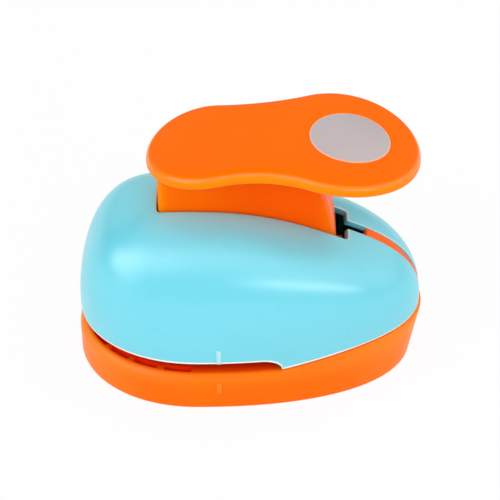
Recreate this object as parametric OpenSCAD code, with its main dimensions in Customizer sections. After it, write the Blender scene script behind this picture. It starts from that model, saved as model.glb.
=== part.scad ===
// Lever craft punch that cuts round discs from paper and card.
// Millimetres, +Z up. The paper goes in at the front, -X; the lever is pressed down at the rear, +X.
// The origin is at the middle of the footprint, on the surface that the punch stands on.

/* [Body] */
// Overall length of the base
body_l = 114.6; // [100:0.2:130]
// Overall width of the base
body_w = 67.4; // [62:0.2:76]
// Distance from the front end to the widest station
front_l = 40; // [34:0.5:48]
// Squareness of the front half of the plan
front_power = 2.05; // [1.9:0.05:2.4]
// Squareness of the rear half of the plan
rear_power = 2.15; // [1.9:0.05:2.4]

/* [Base] */
// Height of the paper ledge
ledge_z = 14.3; // [13:0.1:16]
// Rise of the base rim from the ledge to the rear end
rim_rise = 5.9; // [3:0.1:8]
// Where the rim starts to rise, ahead of the paper throat's end
rim_start = 3; // [1:0.5:6]
// Wall of the base
base_wall = 2.4; // [1.8:0.1:3]
// Thickness of the deck under the ledge
deck_t = 5; // [4.5:0.1:6]
// Rounding of the ledge's outer lip
lip_r = 3.4; // [2:0.1:4]
// Rounding of the rim at the rear
rim_r = 0.5; // [0.3:0.1:1]
// Rounding of the lower edge
foot_r = 1.6; // [0.8:0.1:2.4]
// How far the rear end leans in from the rim down to the foot
rear_rake = 3; // [0:0.2:4]
// Depth of the pockets in the ledge
pocket_depth = 2.6; // [1.5:0.1:3.5]
// Width of the pockets in the ledge
pocket_w = 2.3; // [1.6:0.1:3]

/* [Cover] */
// Gap from the base outline in to the cover
cover_inset = 0.7; // [0.3:0.1:1.2]
// Wall of the cover
cover_wall = 2; // [1.6:0.1:2.6]
// Height at which the dome starts to round over
shoulder_z = 19.5; // [18:0.1:22]
// Height of the dome above the shoulder at mid-length
dome_h = 39.9; // [37:0.1:43]
// Fall of the dome for each millimetre towards the rear
dome_fall = 0.13; // [0.08:0.01:0.16]
// Swell of the dome half-way along the lever's slot
dome_swell = 2.2; // [0:0.1:3]
// Fullness of the dome in front
dome_front = 2.5; // [2.2:0.05:3]
// Fullness of the dome at the rear
dome_rear = 2.85; // [2.5:0.05:3.2]
// Height of the paper mouth above the ledge
mouth_h = 5; // [4.6:0.1:6]
// Gap between the cover and the base rim
seam_gap = 0.25; // [0.15:0.05:0.4]

/* [Lever] */
// Place of the pivot along the body
pivot_x = -32.5; // [-34:0.1:-31]
// Height of the pivot
pivot_z = 46; // [44:0.1:48]
// Radius of the pivot pin
pivot_r = 2.5; // [2:0.1:3]
// Outer radius of the lever's pivot barrel
barrel_r = 5; // [4.4:0.1:5.6]
// Width of the lever's neck
neck_w = 14; // [12:0.2:16]
// Wall of the neck
neck_wall = 2; // [1.6:0.1:2.6]
// Distance from the pivot back to the neck's front face
neck_front = 3.2; // [3:0.1:4]
// Radius of the neck's rear face about the pivot
neck_r = 60.5; // [58:0.1:62]
// Height of the palm pad's middle surface at its crest
pad_z = 84.4; // [82:0.1:90]
// Thickness of the palm pad
pad_t = 5; // [4:0.1:6]
// Radius of the arch along the palm pad
pad_arch_r = 170; // [150:1:220]
// Place of the arch's crest along the body
pad_crest_x = 12; // [8:0.5:16]
// Radius of the front lobe
front_lobe_r = 20; // [18:0.1:22]
// Radius of the rear lobe
rear_lobe_r = 25.4; // [23:0.1:27]
// Centre of the front lobe along the body
front_lobe_x = -12.8; // [-15:0.1:-10]
// Centre of the rear lobe along the body
rear_lobe_x = 28.4; // [26:0.1:30]
// Radius of the hollow flanks between the lobes
waist_r = 52.5; // [40:0.5:80]
// Radius of the grey disc in the pad
disc_r = 12.8; // [10:0.1:15]
// Place of the disc along the body
disc_x = 31.3; // [28:0.1:33]
// Thickness of the disc
disc_t = 0.8; // [0.5:0.1:1.2]

/* [Cutting set] */
// Radius of the cut disc
die_r = 19.05; // [17:0.05:19.5]
// Place of the cutting axis along the body
die_x = -10; // [-11:0.1:-9]
// Thickness of the die plate
die_t = 2.5; // [2:0.1:3]
// Gap for the paper
paper_gap = 2; // [1.6:0.1:2.4]
// Thickness of the guide block's plate
guide_t = 4; // [3.5:0.1:5]
// Wall of the collar
collar_wall = 2.9; // [2.4:0.1:3.2]
// Height of the punch
punch_h = 12; // [11:0.1:13]
// Stroke of the punch
stroke = 4.9; // [4:0.1:5]
// Hollow of the cutting face
shear_h = 0.8; // [0.4:0.1:1.2]
// Thickness of the yoke bar
yoke_t = 4; // [3.5:0.1:5]
// Width of the yoke bar
yoke_w = 12; // [10:0.5:14]
// Radius of the thrust button
button_r = 5; // [4:0.1:6]

/* [Springs and posts] */
// Radius of the guide posts
post_r = 1.75; // [1.5:0.05:2]
// Wire diameter of the return springs
wire_d = 0.8; // [0.6:0.1:1]
// Turns of a return spring
spring_turns = 5; // [4:1:6]

/* [Lock] */
// Width of the lock's strip
lock_w = 4; // [3.6:0.1:4.6]
// Travel of the lock along its arc
lock_travel = 10; // [8:0.5:12]
// Reach of the hook ahead of its leg
hook_reach = 2; // [1.6:0.1:2.4]

/* [Fasteners] */
// Radius of a screw's shank
screw_r = 1.5; // [1.25:0.05:1.75]
// Radius of a screw's head
head_r = 2.75; // [2.5:0.05:3]
// Height of a screw's head
head_h = 2.2; // [1.8:0.1:2.4]

/* [Clearances] */
// Gap all round a fitted pin or screw
fit_gap = 0.05; // [0.02:0.01:0.08]
// Gap beside a part that slides or turns past another
run_gap = 0.3; // [0.2:0.05:0.4]
// Gap round the neck in the cover's slot
slot_gap = 0.6; // [0.4:0.1:1]

/* [Hidden] */
$fn = 64;
eps = 0.01;
big = 300;

teal = [0.48, 0.87, 0.93];
orange = [1.0, 0.44, 0.02];
grey = [0.74, 0.70, 0.70];
steel = [0.72, 0.74, 0.76];
zinc = [0.58, 0.60, 0.62];
ivory = [0.90, 0.88, 0.82];

// Plan
rear_l = body_l - front_l;
wide_x = front_l - body_l / 2;
plan_n = 72;

function spow(v, p) = sign(v) * pow(abs(v), p);
function half_len(t) = cos(t) < 0 ? front_l : rear_l;
function half_power(t) = cos(t) < 0 ? front_power : rear_power;

// Point of the plan at angle t, drawn in by inset, with extra squareness
function plan_at(t, inset, extra) =
    let (n = half_power(t) + extra)
    [wide_x + (half_len(t) - inset) * spow(cos(t), 2 / n),
     (body_w / 2 - inset) * spow(sin(t), 2 / n)];
function plan_outline(inset) = [for (i = [0:plan_n - 1]) plan_at(360 * i / plan_n, inset, 0)];

// Heights, from the ledge up
deck_low_z = ledge_z - deck_t;
die_proud = 0.2;
die_top_z = ledge_z + die_proud;
die_low_z = die_top_z - die_t;
guide_z = die_top_z + paper_gap;
plate_z = guide_z + guide_t;
punch_rest_lift = 1.1;
punch_z = guide_z + punch_rest_lift;
punch_top_z = punch_z + punch_h;
pedestal_h = 2.4;
yoke_z = punch_top_z + pedestal_h;
collar_z = yoke_z - stroke - 2 * run_gap;
yoke_top_z = yoke_z + yoke_t;
button_lift = 4;
button_top_z = yoke_top_z + button_lift;
mouth_z = ledge_z + mouth_h;

// Cutting set, plan
throat_margin = 1.6;
throat_x = die_x + die_r + throat_margin;
guide_side_gap = 1.9;
guide_inset = cover_inset + cover_wall + guide_side_gap;
pocket_in = lip_r - 0.7;
pocket_rim = 2.6;
die_inset = pocket_in + pocket_w + pocket_rim;
frame_nose = 10.5;
frame_front_x = pivot_x - frame_nose;
spacer_step = 1;
spacer_front_x = throat_x + spacer_step;
spacer_l = 13;
frame_rear_x = spacer_front_x + spacer_l;
collar_r = die_r + fit_gap + collar_wall;
spring_r = post_r + run_gap + wire_d;
collar_reach = collar_r + run_gap + spring_r + wire_d / 2;
ear_wall = 1.3;
ear_r = post_r + ear_wall;
clip_t = 0.8;
clip_lift = 0.5;
post_clip_z = yoke_top_z + clip_lift;
clip_end = 1.2;
post_top_z = post_clip_z + clip_t + clip_end;
punch_r = die_r - fit_gap;

// The posts stand inside the cover's wall; in a narrow cover the yoke turns to clear the collar
post_side_gap = 4.5;
post_room = body_w / 2 - cover_inset - cover_wall - post_side_gap;
post_reach = max(collar_reach, post_room);
post_turn = acos(post_room / post_reach);

// Lever
neck_front_x = pivot_x + neck_front;
nose_r = 4;
nose_gap = 0.2;
nose_z = button_top_z + nose_gap + nose_r;
arm = die_x - pivot_x;
lever_travel = asin(stroke / arm);
tooth_h = 2.4;
tooth_reach = 2.3;
tooth_top_deg = -2.4;
tooth_z = pivot_z + (neck_r + tooth_reach) * sin(tooth_top_deg);
neck_low_z = tooth_z - tooth_h;
barrel_w = neck_w + 2;
cheek_t = 2;
cheek_y = barrel_w / 2 + run_gap;
pad_axis_z = pad_z - pad_arch_r;
pad_top_r = pad_arch_r + pad_t / 2;
pad_low_r = pad_arch_r - pad_t / 2;
lobe_gap = rear_lobe_x - front_lobe_x;
flank_front = front_lobe_r + waist_r;
flank_rear = rear_lobe_r + waist_r;
flank_x = front_lobe_x + (flank_front ^ 2 - flank_rear ^ 2 + lobe_gap ^ 2) / (2 * lobe_gap);
flank_y = sqrt(flank_front ^ 2 - (flank_x - front_lobe_x) ^ 2);

// Slot of the cover
slot_w = neck_w + 2 * slot_gap;
slot_front_x = neck_front_x - slot_gap;
slot_rear_gap = 3.8;
slot_rear_x = pivot_x + neck_r + slot_rear_gap;
slot_r = 1.6;

// Dome of the cover
dome_rings = 12;
top_square_front = 1.2;
top_square_rear = 0.7;
function dome_power(t) = cos(t) < 0 ? dome_front : dome_rear;
function top_square(t) = cos(t) < 0 ? top_square_front : top_square_rear;
swell_power = 1.5;
function swell(x) =
    let (share = (2 * x - slot_front_x - slot_rear_x) / (slot_rear_x - slot_front_x))
    dome_swell * pow(max(0, 1 - share * share), swell_power);
function crest_h(x) = dome_h - dome_fall * x + swell(x);
function dome_at(t, a, inset, drop) =
    let (m = dome_power(t))
    let (lift = pow(sin(a), 2 / m))
    let (p = plan_at(t, inset, top_square(t) * lift))
    let (draw = pow(cos(a), 2 / m))
    let (x = wide_x + (p[0] - wide_x) * draw)
    [x, p[1] * draw, shoulder_z + (crest_h(x) - drop) * lift];

// Height of the cover's spine at x, behind the widest station
function spine_z(x) =
    let (rho = (x - wide_x) / (rear_l - cover_inset))
    shoulder_z + crest_h(x) * pow(1 - pow(rho, dome_rear), 1 / dome_rear);

// Top of the base at x: level ledge, then a rim that rises to the rear
rim_x0 = throat_x - rim_start;
function rim_share(x) = max(0, min(1, (x - rim_x0) / (body_l / 2 - rim_x0)));
function base_top(x) = ledge_z + rim_rise * sin(90 * rim_share(x));
function lip_at(x) = x < rim_x0 ? lip_r : lip_r + (rim_r - lip_r) * min(1, (x - rim_x0) / rim_start);

// Plan outline at a height of the base's wall, with its rear half drawn in by the rake
rake_top_z = base_top(body_l / 2) - rim_r;
function rake_at(z) = rear_rake * min(1, (rake_top_z - z) / (rake_top_z - foot_r));
rake_power = 3;
function rake_share(x) = pow(max(0, (x - wide_x) / rear_l), rake_power);
function raked_ring(inset, z) =
    [for (p = plan_outline(inset)) [p[0] - rake_at(z) * rake_share(p[0]), p[1], z]];

// Arc of the lock: the circle through three points of the spine
spine_a = [slot_rear_x, spine_z(slot_rear_x)];
spine_b_in = 11;
spine_b_x = body_l / 2 - spine_b_in;
spine_b = [spine_b_x, spine_z(spine_b_x)];
spine_c_in = 1.6;
spine_c_x = body_l / 2 - spine_c_in;
spine_c = [spine_c_x, spine_z(spine_c_x)];
function circle_x(a, b, c) =
    let (na = a * a)
    let (nb = b * b)
    let (nc = c * c)
    let (d = 2 * (a[0] * (b[1] - c[1]) + b[0] * (c[1] - a[1]) + c[0] * (a[1] - b[1])))
    [(na * (b[1] - c[1]) + nb * (c[1] - a[1]) + nc * (a[1] - b[1])) / d,
     (na * (c[0] - b[0]) + nb * (a[0] - c[0]) + nc * (b[0] - a[0])) / d];
lock_axis = circle_x(spine_a, spine_b, spine_c);
lock_r = norm(spine_a - lock_axis);
function arc_deg(p) = atan2(p[1] - lock_axis[1], p[0] - lock_axis[0]);
lock_stop_deg = 1;
lock_top_deg = arc_deg(spine_a) - lock_travel - lock_stop_deg;
lock_foot_rise = 4.2;
lock_low_z = base_top(body_l / 2) + seam_gap + lock_foot_rise;
lock_low_deg = asin((lock_low_z - lock_axis[1]) / lock_r);
channel_depth = 12;
lock_shoe_gap = 1.3;
lock_wall = cover_wall + lock_shoe_gap;
shoe_t = 1.6;
shoe_side = 2;
shoe_w = lock_w + 2 * shoe_side;
leg_t = 3;
hook_set_deg = 60;
leg_deg = hook_set_deg - lock_travel;
hook_r = 16;
hook_h = 2.2;

// Fastener places
frame_screw_x = (spacer_front_x + frame_rear_x) / 2;
frame_screw_y = [-16, -6, 6, 16];
screw_edge = 6;
die_screw_x = die_x - die_r - screw_edge;
die_screw_y = 10;
bracket_step = 4.8;
bracket_x = pivot_x - bracket_step;
bracket_screw_y = 4.5;
rear_screw_in = 16;
rear_screw_x = body_l / 2 - rear_screw_in;
rear_screw_y = 11;
front_screw_step = 7;
front_screw_x = pivot_x - front_screw_step;
front_screw_y = 16;
boss_wall = 1.7;
boss_r = screw_r + boss_wall;
screw_tip_gap = 0.4;
tick_w = 1;
tick_proud = 0.25;

module along_y(x, z, w) { translate([x, w / 2, z]) rotate([90, 0, 0]) children(); }
module mirror_y() {
    children();
    mirror([0, 1, 0]) children();
}
module on_yoke(z) { translate([die_x, 0, z]) rotate([0, 0, post_turn]) children(); }
module at_posts(z) {
    on_yoke(z) mirror_y() translate([0, post_reach, 0]) children();
}
module plan_prism(inset, z0, z1) {
    translate([0, 0, z0]) linear_extrude(z1 - z0) polygon(plan_outline(inset));
}
module between_x(x0, x1) {
    intersection() {
        children();
        translate([x0, -big / 2, -big / 2]) cube([x1 - x0, big, big]);
    }
}
module ring(r_out, r_in, h) {
    difference() {
        cylinder(r = r_out, h = h);
        translate([0, 0, -1]) cylinder(r = r_in, h = h + 2);
    }
}
module screw(x, y, z0, z1, head_up) {
    head_z = head_up ? z1 : z0 - head_h;
    translate([x, y, z0]) cylinder(r = screw_r, h = z1 - z0);
    translate([x, y, head_z]) cylinder(r = head_r, h = head_h);
}
module screw_hole(x, y, z0, z1) {
    translate([x, y, z0]) cylinder(r = screw_r + fit_gap, h = z1 - z0);
}

// Closed loft of rings that all have plan_n points; the last ring is capped across
module loft(rings) {
    n = plan_n;
    k = len(rings);
    pts = [for (r = rings) each r];
    sides = [for (j = [0:k - 2]) for (i = [0:n - 1])
        let (a = j * n + i)
        let (b = j * n + (i + 1) % n)
        each [[a, a + n, b + n], [a, b + n, b]]];
    low = [for (i = [0:n / 2 - 1]) let (p = i) let (q = i + 1)
        each [[p, q, (n - q) % n], [p, (n - q) % n, (n - p) % n]]];
    top0 = (k - 1) * n;
    cap = [for (f = low) [top0 + f[1], top0 + f[0], top0 + f[2]]];
    trim = function (f) [for (t = f) if (t[0] != t[1] && t[1] != t[2] && t[0] != t[2]) t];
    polyhedron(pts, trim(concat(sides, low, cap)));
}

// Solid dome: a straight skirt down to z0, then rings that close to a ridge
module dome(inset, drop, z0) {
    last_deg = 89;
    skirt = [for (p = plan_outline(inset)) [p[0], p[1], z0]];
    body = [for (k = [0:dome_rings]) [for (i = [0:plan_n - 1])
        dome_at(360 * i / plan_n, last_deg * k / dome_rings, inset, drop)]];
    loft(concat([skirt], body));
}

module base_outer() {
    foot = [for (a = [0, 45]) raked_ring(foot_r * (1 - sin(a)), foot_r * (1 - cos(a)))];
    wall = raked_ring(0, foot_r);
    lip = [for (a = [0, 30, 60, 90]) [for (i = [0:plan_n - 1])
        let (t = 360 * i / plan_n)
        let (r = lip_at(plan_at(t, 0, 0)[0]))
        let (p = plan_at(t, r * (1 - cos(a)), 0))
        [p[0], p[1], base_top(p[0]) - r * (1 - sin(a))]]];
    loft(concat(foot, [wall], lip));
}

// Pockets along the front of the ledge, with a rib between each two
module ledge_pockets() {
    pocket_t0 = 92.6;
    pocket_step = 17.4;
    pocket_n = 5;
    rib_deg = 3.4;
    for (k = [0:pocket_n - 1]) {
        t0 = pocket_t0 + k * pocket_step;
        t1 = t0 + pocket_step - rib_deg;
        span = [for (s = [0:4]) t0 + (t1 - t0) * s / 4];
        outer = [for (t = span) plan_at(t, pocket_in, 0)];
        inner = [for (s = [4:-1:0]) plan_at(span[s], pocket_in + pocket_w, 0)];
        translate([0, 0, ledge_z - pocket_depth]) linear_extrude(pocket_depth + 1)
            polygon(concat(outer, inner));
    }
}

module base_shell() color(orange) {
    tick_z = 7.4;
    tick_h = 3;
    outlet_step = 1.2;
    difference() {
        base_outer();
        loft([for (z = [-1, foot_r, deck_low_z]) raked_ring(base_wall, z)]);
        between_x(throat_x, big / 2) plan_prism(base_wall, ledge_z, mouth_z + rim_rise + 2);
        between_x(-big / 2, frame_rear_x + fit_gap) plan_prism(die_inset - fit_gap, die_low_z, ledge_z + 1);
        translate([die_x, 0, deck_low_z - 1]) cylinder(r = die_r + outlet_step, h = deck_t + 2);
        mirror_y() ledge_pockets();
        for (y = frame_screw_y) screw_hole(frame_screw_x, y, deck_low_z - 1, ledge_z);
        mirror_y() screw_hole(die_screw_x, die_screw_y, deck_low_z - 1, ledge_z);
        mirror_y() screw_hole(rear_screw_x, rear_screw_y, deck_low_z - 1, ledge_z + 1);
    }
    mirror_y() tick(body_w / 2, tick_z, tick_h);
}

// Raised centre mark on a side wall at half-width y
module tick(y, z, h) {
    translate([die_x - tick_w / 2, y - tick_w, z]) cube([tick_w, tick_w + tick_proud, h]);
}

// Everything below the cover's lower edge
module below_seam() {
    edge_a = 7.4;
    edge_x = throat_x - edge_a;
    steps = 8;
    edge_low = base_top(throat_x) + seam_gap;
    arc = [for (k = [0:steps]) let (a = 90 - 90 * k / steps)
        [edge_x + edge_a * cos(a), edge_low + (mouth_z - edge_low) * sin(a)]];
    rear = [for (k = [1:steps]) let (x = throat_x + (body_l / 2 - throat_x) * k / steps)
        [x, base_top(x) + seam_gap]];
    pts = concat([[-big / 2, -1], [-big / 2, mouth_z]], arc, rear,
        [[big / 2, base_top(big) + seam_gap], [big / 2, -1]]);
    along_y(0, 0, big) linear_extrude(big) polygon(pts);
}

module slot_prism() {
    x0 = slot_front_x + slot_r;
    x1 = slot_rear_x - slot_r;
    y1 = slot_w / 2 - slot_r;
    translate([0, 0, pivot_z]) linear_extrude(big / 2) union() {
        for (x = [x0, x1], y = [-y1, y1]) translate([x, y]) circle(r = slot_r);
        translate([x0, -slot_w / 2]) square([x1 - x0, slot_w]);
        translate([slot_front_x, -y1]) square([slot_rear_x - slot_front_x, 2 * y1]);
    }
}

// Ring sector about the lock's axis, between two radii and two angles
module lock_sector(r0, r1, w, deg0, deg1) {
    translate([lock_axis[0], 0, lock_axis[1]]) rotate([90, 0, 0]) rotate([0, 0, deg0])
        rotate_extrude(angle = deg1 - deg0) translate([r0, -w / 2]) square([r1 - r0, w]);
}

module cover_bosses() {
    intersection() {
        dome(cover_inset + cover_wall / 2, cover_wall / 2, ledge_z - 1);
        mirror_y() union() {
            translate([rear_screw_x, rear_screw_y, ledge_z + seam_gap]) cylinder(r = boss_r, h = big / 3);
            translate([front_screw_x, front_screw_y, plate_z]) cylinder(r = boss_r, h = big / 3);
        }
    }
}

module upper_cover() color(teal) {
    tick_h = 4.6;
    rear_hole_top = rear_screw_top + 1;
    front_hole_top = front_screw_top + 1;
    difference() {
        union() {
            difference() {
                dome(cover_inset, 0, ledge_z - 2);
                dome(cover_inset + cover_wall, cover_wall, ledge_z - 3);
                below_seam();
            }
            cover_bosses();
            mirror_y() tick(body_w / 2 - cover_inset, mouth_z, tick_h);
        }
        slot_prism();
        lock_sector(lock_r - channel_depth, lock_r + channel_depth, lock_w + run_gap,
            lock_low_deg - lock_stop_deg, arc_deg(spine_a) + lock_stop_deg);
        mirror_y() screw_hole(rear_screw_x, rear_screw_y, ledge_z, rear_hole_top);
        mirror_y() screw_hole(front_screw_x, front_screw_y, plate_z - 1, front_hole_top);
    }
}

// Plan of the palm pad: two lobes and the hollow flanks between them
module pad_plan() {
    pf = front_lobe_r / flank_front;
    pr = rear_lobe_r / flank_rear;
    front_tan = [front_lobe_x + (flank_x - front_lobe_x) * pf, flank_y * pf];
    rear_tan = [rear_lobe_x + (flank_x - rear_lobe_x) * pr, flank_y * pr];
    translate([front_lobe_x, 0]) circle(r = front_lobe_r);
    translate([rear_lobe_x, 0]) circle(r = rear_lobe_r);
    difference() {
        polygon([front_tan, rear_tan, [rear_tan[0], -rear_tan[1]], [front_tan[0], -front_tan[1]]]);
        for (s = [-1, 1]) translate([flank_x, s * flank_y]) circle(r = waist_r);
    }
}

module pad_cylinder(r, w) { along_y(pad_crest_x, pad_axis_z, w) cylinder(r = r, h = w, $fn = 200); }

// Block between the pivot's rear radius and the neck's front face, up into the pad
module neck_block(w, wall, low, top_r) {
    intersection() {
        translate([neck_front_x + wall, -w / 2, low]) cube([neck_r * 2, w, pad_z - low]);
        along_y(pivot_x, pivot_z, w + 2) cylinder(r = neck_r - wall, h = w + 2, $fn = 128);
        pad_cylinder(top_r, w + 2);
    }
}

module lever_nose() {
    web_t = 4;
    web_w = neck_w - neck_wall;
    web_h = pad_z - 2 * pad_t - nose_z;
    along_y(die_x, nose_z, web_w) cylinder(r = nose_r, h = web_w);
    translate([die_x - web_t / 2, -web_w / 2, nose_z]) cube([web_t, web_w, web_h]);
}

module disc_blank(r, t_low, t_top) {
    intersection() {
        translate([disc_x, 0, pad_z - 3 * pad_t]) cylinder(r = r, h = 6 * pad_t);
        difference() {
            pad_cylinder(pad_top_r + t_top, 4 * disc_r);
            pad_cylinder(pad_top_r - t_low, 4 * disc_r + 2);
        }
    }
}

module lever_handle() color(orange) {
    web_lead = 1.5;
    web_sink = 0.4;
    difference() {
        union() {
            intersection() {
                translate([0, 0, pivot_z]) linear_extrude(big / 2) pad_plan();
                difference() {
                    pad_cylinder(pad_top_r, body_w * 2);
                    pad_cylinder(pad_low_r, body_w * 2 + 2);
                }
            }
            difference() {
                neck_block(neck_w, 0, neck_low_z, pad_arch_r);
                neck_block(neck_w - 2 * neck_wall, neck_wall, neck_low_z - 1, pad_low_r - neck_wall);
            }
            along_y(pivot_x, pivot_z, barrel_w) cylinder(r = barrel_r, h = barrel_w);
            along_y(0, 0, neck_w) linear_extrude(neck_w) polygon([
                [pivot_x - web_lead, pivot_z + barrel_r - web_sink],
                [neck_front_x + 2 * neck_wall, pivot_z + 2 * barrel_r],
                [neck_front_x + 4 * neck_wall, neck_low_z],
                [pivot_x, pivot_z - barrel_r + web_sink]
            ]);
            lever_nose();
            translate([pivot_x + neck_r - neck_wall, -neck_w / 4, neck_low_z])
                cube([neck_wall + tooth_reach, neck_w / 2, tooth_h]);
        }
        along_y(pivot_x, pivot_z, barrel_w + 2) cylinder(r = pivot_r + fit_gap, h = barrel_w + 2);
        disc_blank(disc_r + fit_gap, disc_t, 1);
    }
}

disc_proud = 0.15;
module label_disc() color(grey) disc_blank(disc_r, disc_t - fit_gap, disc_proud);

module lock_slide() color(orange) {
    shoe_r = lock_r - lock_wall;
    shoe_in = 2.5;
    strip_low = 0.2;
    leg_top = shoe_r - shoe_t / 2;
    lock_sector(shoe_r - eps, lock_r - strip_low, lock_w, lock_low_deg, lock_top_deg);
    lock_sector(shoe_r - shoe_t, shoe_r, shoe_w, lock_low_deg + shoe_in, lock_top_deg - shoe_in);
    translate([lock_axis[0], 0, lock_axis[1]]) rotate([0, -leg_deg, 0]) union() {
        translate([hook_r, -lock_w / 2, -leg_t / 2]) cube([leg_top - hook_r, lock_w, leg_t]);
        translate([hook_r, -lock_w / 2, leg_t / 2 - eps]) cube([hook_h, lock_w, hook_reach + eps]);
    }
}

clip_y = cheek_y + cheek_t + 2 * fit_gap;
pin_half = clip_y + clip_t + clip_end;
groove_depth = 0.4;
groove_r = pivot_r - groove_depth;
pin_clip_rim = 2;
module pivot_pin() color(steel) {
    difference() {
        along_y(pivot_x, pivot_z, 2 * pin_half) cylinder(r = pivot_r, h = 2 * pin_half);
        mirror_y() translate([pivot_x, clip_y, pivot_z]) rotate([-90, 0, 0])
            translate([0, 0, -fit_gap]) ring(pivot_r + 1, groove_r, clip_t + 2 * fit_gap);
    }
}

// Open retaining ring, lying flat
module clip(r_groove, r_out) {
    mouth = 1.4 * r_groove;
    difference() {
        ring(r_out, r_groove + fit_gap, clip_t);
        translate([0, -mouth / 2, -1]) cube([r_out + 1, mouth, clip_t + 2]);
    }
}
module pin_clips() color(steel) {
    mirror_y() translate([pivot_x, clip_y, pivot_z]) rotate([-90, 0, 0])
        clip(groove_r, pivot_r + pin_clip_rim);
}

module fulcrum_bracket() color(steel) {
    foot_edge = 1.5;
    foot_x0 = frame_front_x + foot_edge;
    foot_x1 = die_x - collar_r - foot_edge;
    foot_y = cheek_y + cheek_t;
    cheek_half = barrel_r - 0.2;
    difference() {
        union() {
            translate([foot_x0, -foot_y, plate_z]) cube([foot_x1 - foot_x0, 2 * foot_y, cheek_t]);
            mirror_y() translate([0, foot_y, 0]) rotate([90, 0, 0]) linear_extrude(cheek_t) union() {
                translate([pivot_x, pivot_z]) circle(r = barrel_r);
                polygon([[foot_x0, plate_z], [foot_x1, plate_z], [pivot_x + cheek_half, pivot_z],
                    [pivot_x - cheek_half, pivot_z]]);
            }
        }
        along_y(pivot_x, pivot_z, big) cylinder(r = pivot_r + fit_gap, h = big);
        mirror_y() screw_hole(bracket_x, bracket_screw_y, plate_z - 1, plate_z + cheek_t + 1);
    }
}
bracket_screw_low = guide_z + screw_tip_gap;
module bracket_screws() color(steel) {
    mirror_y() screw(bracket_x, bracket_screw_y, bracket_screw_low, plate_z + cheek_t, true);
}

module die_plate() color(steel) {
    difference() {
        between_x(-big / 2, frame_rear_x) plan_prism(die_inset, die_low_z, die_top_z);
        translate([die_x, 0, die_low_z - 1]) cylinder(r = die_r, h = die_t + 2);
        for (y = frame_screw_y) screw_hole(frame_screw_x, y, die_low_z - 1, die_top_z + 1);
        mirror_y() screw_hole(die_screw_x, die_screw_y, die_low_z - 1, die_screw_top + fit_gap);
    }
}

module throat_spacer() color(steel) {
    difference() {
        between_x(spacer_front_x, frame_rear_x) plan_prism(die_inset + run_gap, die_top_z, guide_z);
        for (y = frame_screw_y) screw_hole(frame_screw_x, y, die_top_z - 1, guide_z + 1);
    }
}

module guide_block() color(zinc) {
    difference() {
        union() {
            between_x(frame_front_x, frame_rear_x) plan_prism(guide_inset, guide_z, plate_z);
            translate([die_x, 0, guide_z]) cylinder(r = collar_r, h = collar_z - guide_z);
        }
        translate([die_x, 0, guide_z - 1]) cylinder(r = die_r, h = collar_z);
        for (y = frame_screw_y) screw_hole(frame_screw_x, y, guide_z - 1, plate_z + 1);
        at_posts(guide_z - 1) cylinder(r = post_r + fit_gap, h = guide_t + 2);
        mirror_y() screw_hole(bracket_x, bracket_screw_y, bracket_screw_low - fit_gap, plate_z + 1);
        mirror_y() screw_hole(front_screw_x, front_screw_y, guide_z - 1, plate_z + 1);
        mirror_y() translate([front_screw_x, front_screw_y, guide_z - 1])
            cylinder(r = head_r + fit_gap, h = head_h + 1);
    }
}

frame_screw_low = deck_low_z + screw_tip_gap;
module frame_screws() color(steel) {
    for (y = frame_screw_y) screw(frame_screw_x, y, frame_screw_low, plate_z, true);
}
die_screw_top = die_top_z - screw_tip_gap;
module die_screws() color(steel) {
    mirror_y() screw(die_screw_x, die_screw_y, deck_low_z, die_screw_top, false);
}

shear_r = (punch_r ^ 2 + shear_h ^ 2) / (2 * shear_h);
yoke_screw_y = 11;
yoke_screw_low = punch_z + punch_h / 2;
module punch_cutter() color(steel) {
    difference() {
        translate([die_x, 0, punch_z]) cylinder(r = punch_r, h = punch_h);
        along_y(die_x, punch_z + shear_h - shear_r, 3 * die_r)
            cylinder(r = shear_r, h = 3 * die_r, $fn = 200);
        on_yoke(0) mirror_y() screw_hole(0, yoke_screw_y, yoke_screw_low - fit_gap, punch_top_z + 1);
    }
}

button_t = 2;
button_seat = 1;
button_low_z = button_top_z - button_t;
module punch_yoke() color(ivory) {
    seat_top_z = button_low_z + button_seat;
    difference() {
        union() {
            on_yoke(yoke_z) translate([-yoke_w / 2, -post_reach, 0]) cube([yoke_w, 2 * post_reach, yoke_t]);
            at_posts(yoke_z) cylinder(r = ear_r, h = yoke_t);
            translate([die_x, 0, punch_top_z]) cylinder(r = punch_r - collar_wall, h = pedestal_h + eps);
            translate([die_x, 0, yoke_z]) cylinder(r = button_r + ear_wall, h = seat_top_z - yoke_z);
        }
        at_posts(yoke_z - 1) cylinder(r = post_r + 2 * fit_gap, h = yoke_t + 2);
        on_yoke(0) mirror_y() screw_hole(0, yoke_screw_y, punch_top_z - 1, yoke_top_z + 1);
        translate([die_x, 0, button_low_z]) cylinder(r = button_r + fit_gap, h = yoke_t);
    }
}
module yoke_screws() color(steel) {
    on_yoke(0) mirror_y() screw(0, yoke_screw_y, yoke_screw_low, yoke_top_z, true);
}
module thrust_button() color(steel) {
    translate([die_x, 0, button_low_z]) cylinder(r = button_r, h = button_t);
}

post_groove_r = post_r - groove_depth;
post_low_z = guide_z + die_proud;
post_clip_rim = 0.8;
module guide_posts() color(steel) {
    at_posts(0) difference() {
        translate([0, 0, post_low_z]) cylinder(r = post_r, h = post_top_z - post_low_z);
        translate([0, 0, post_clip_z - fit_gap]) ring(post_r + 1, post_groove_r, clip_t + 2 * fit_gap);
    }
}
module post_clips() color(steel) {
    at_posts(post_clip_z) clip(post_groove_r, post_r + post_clip_rim);
}

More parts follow.
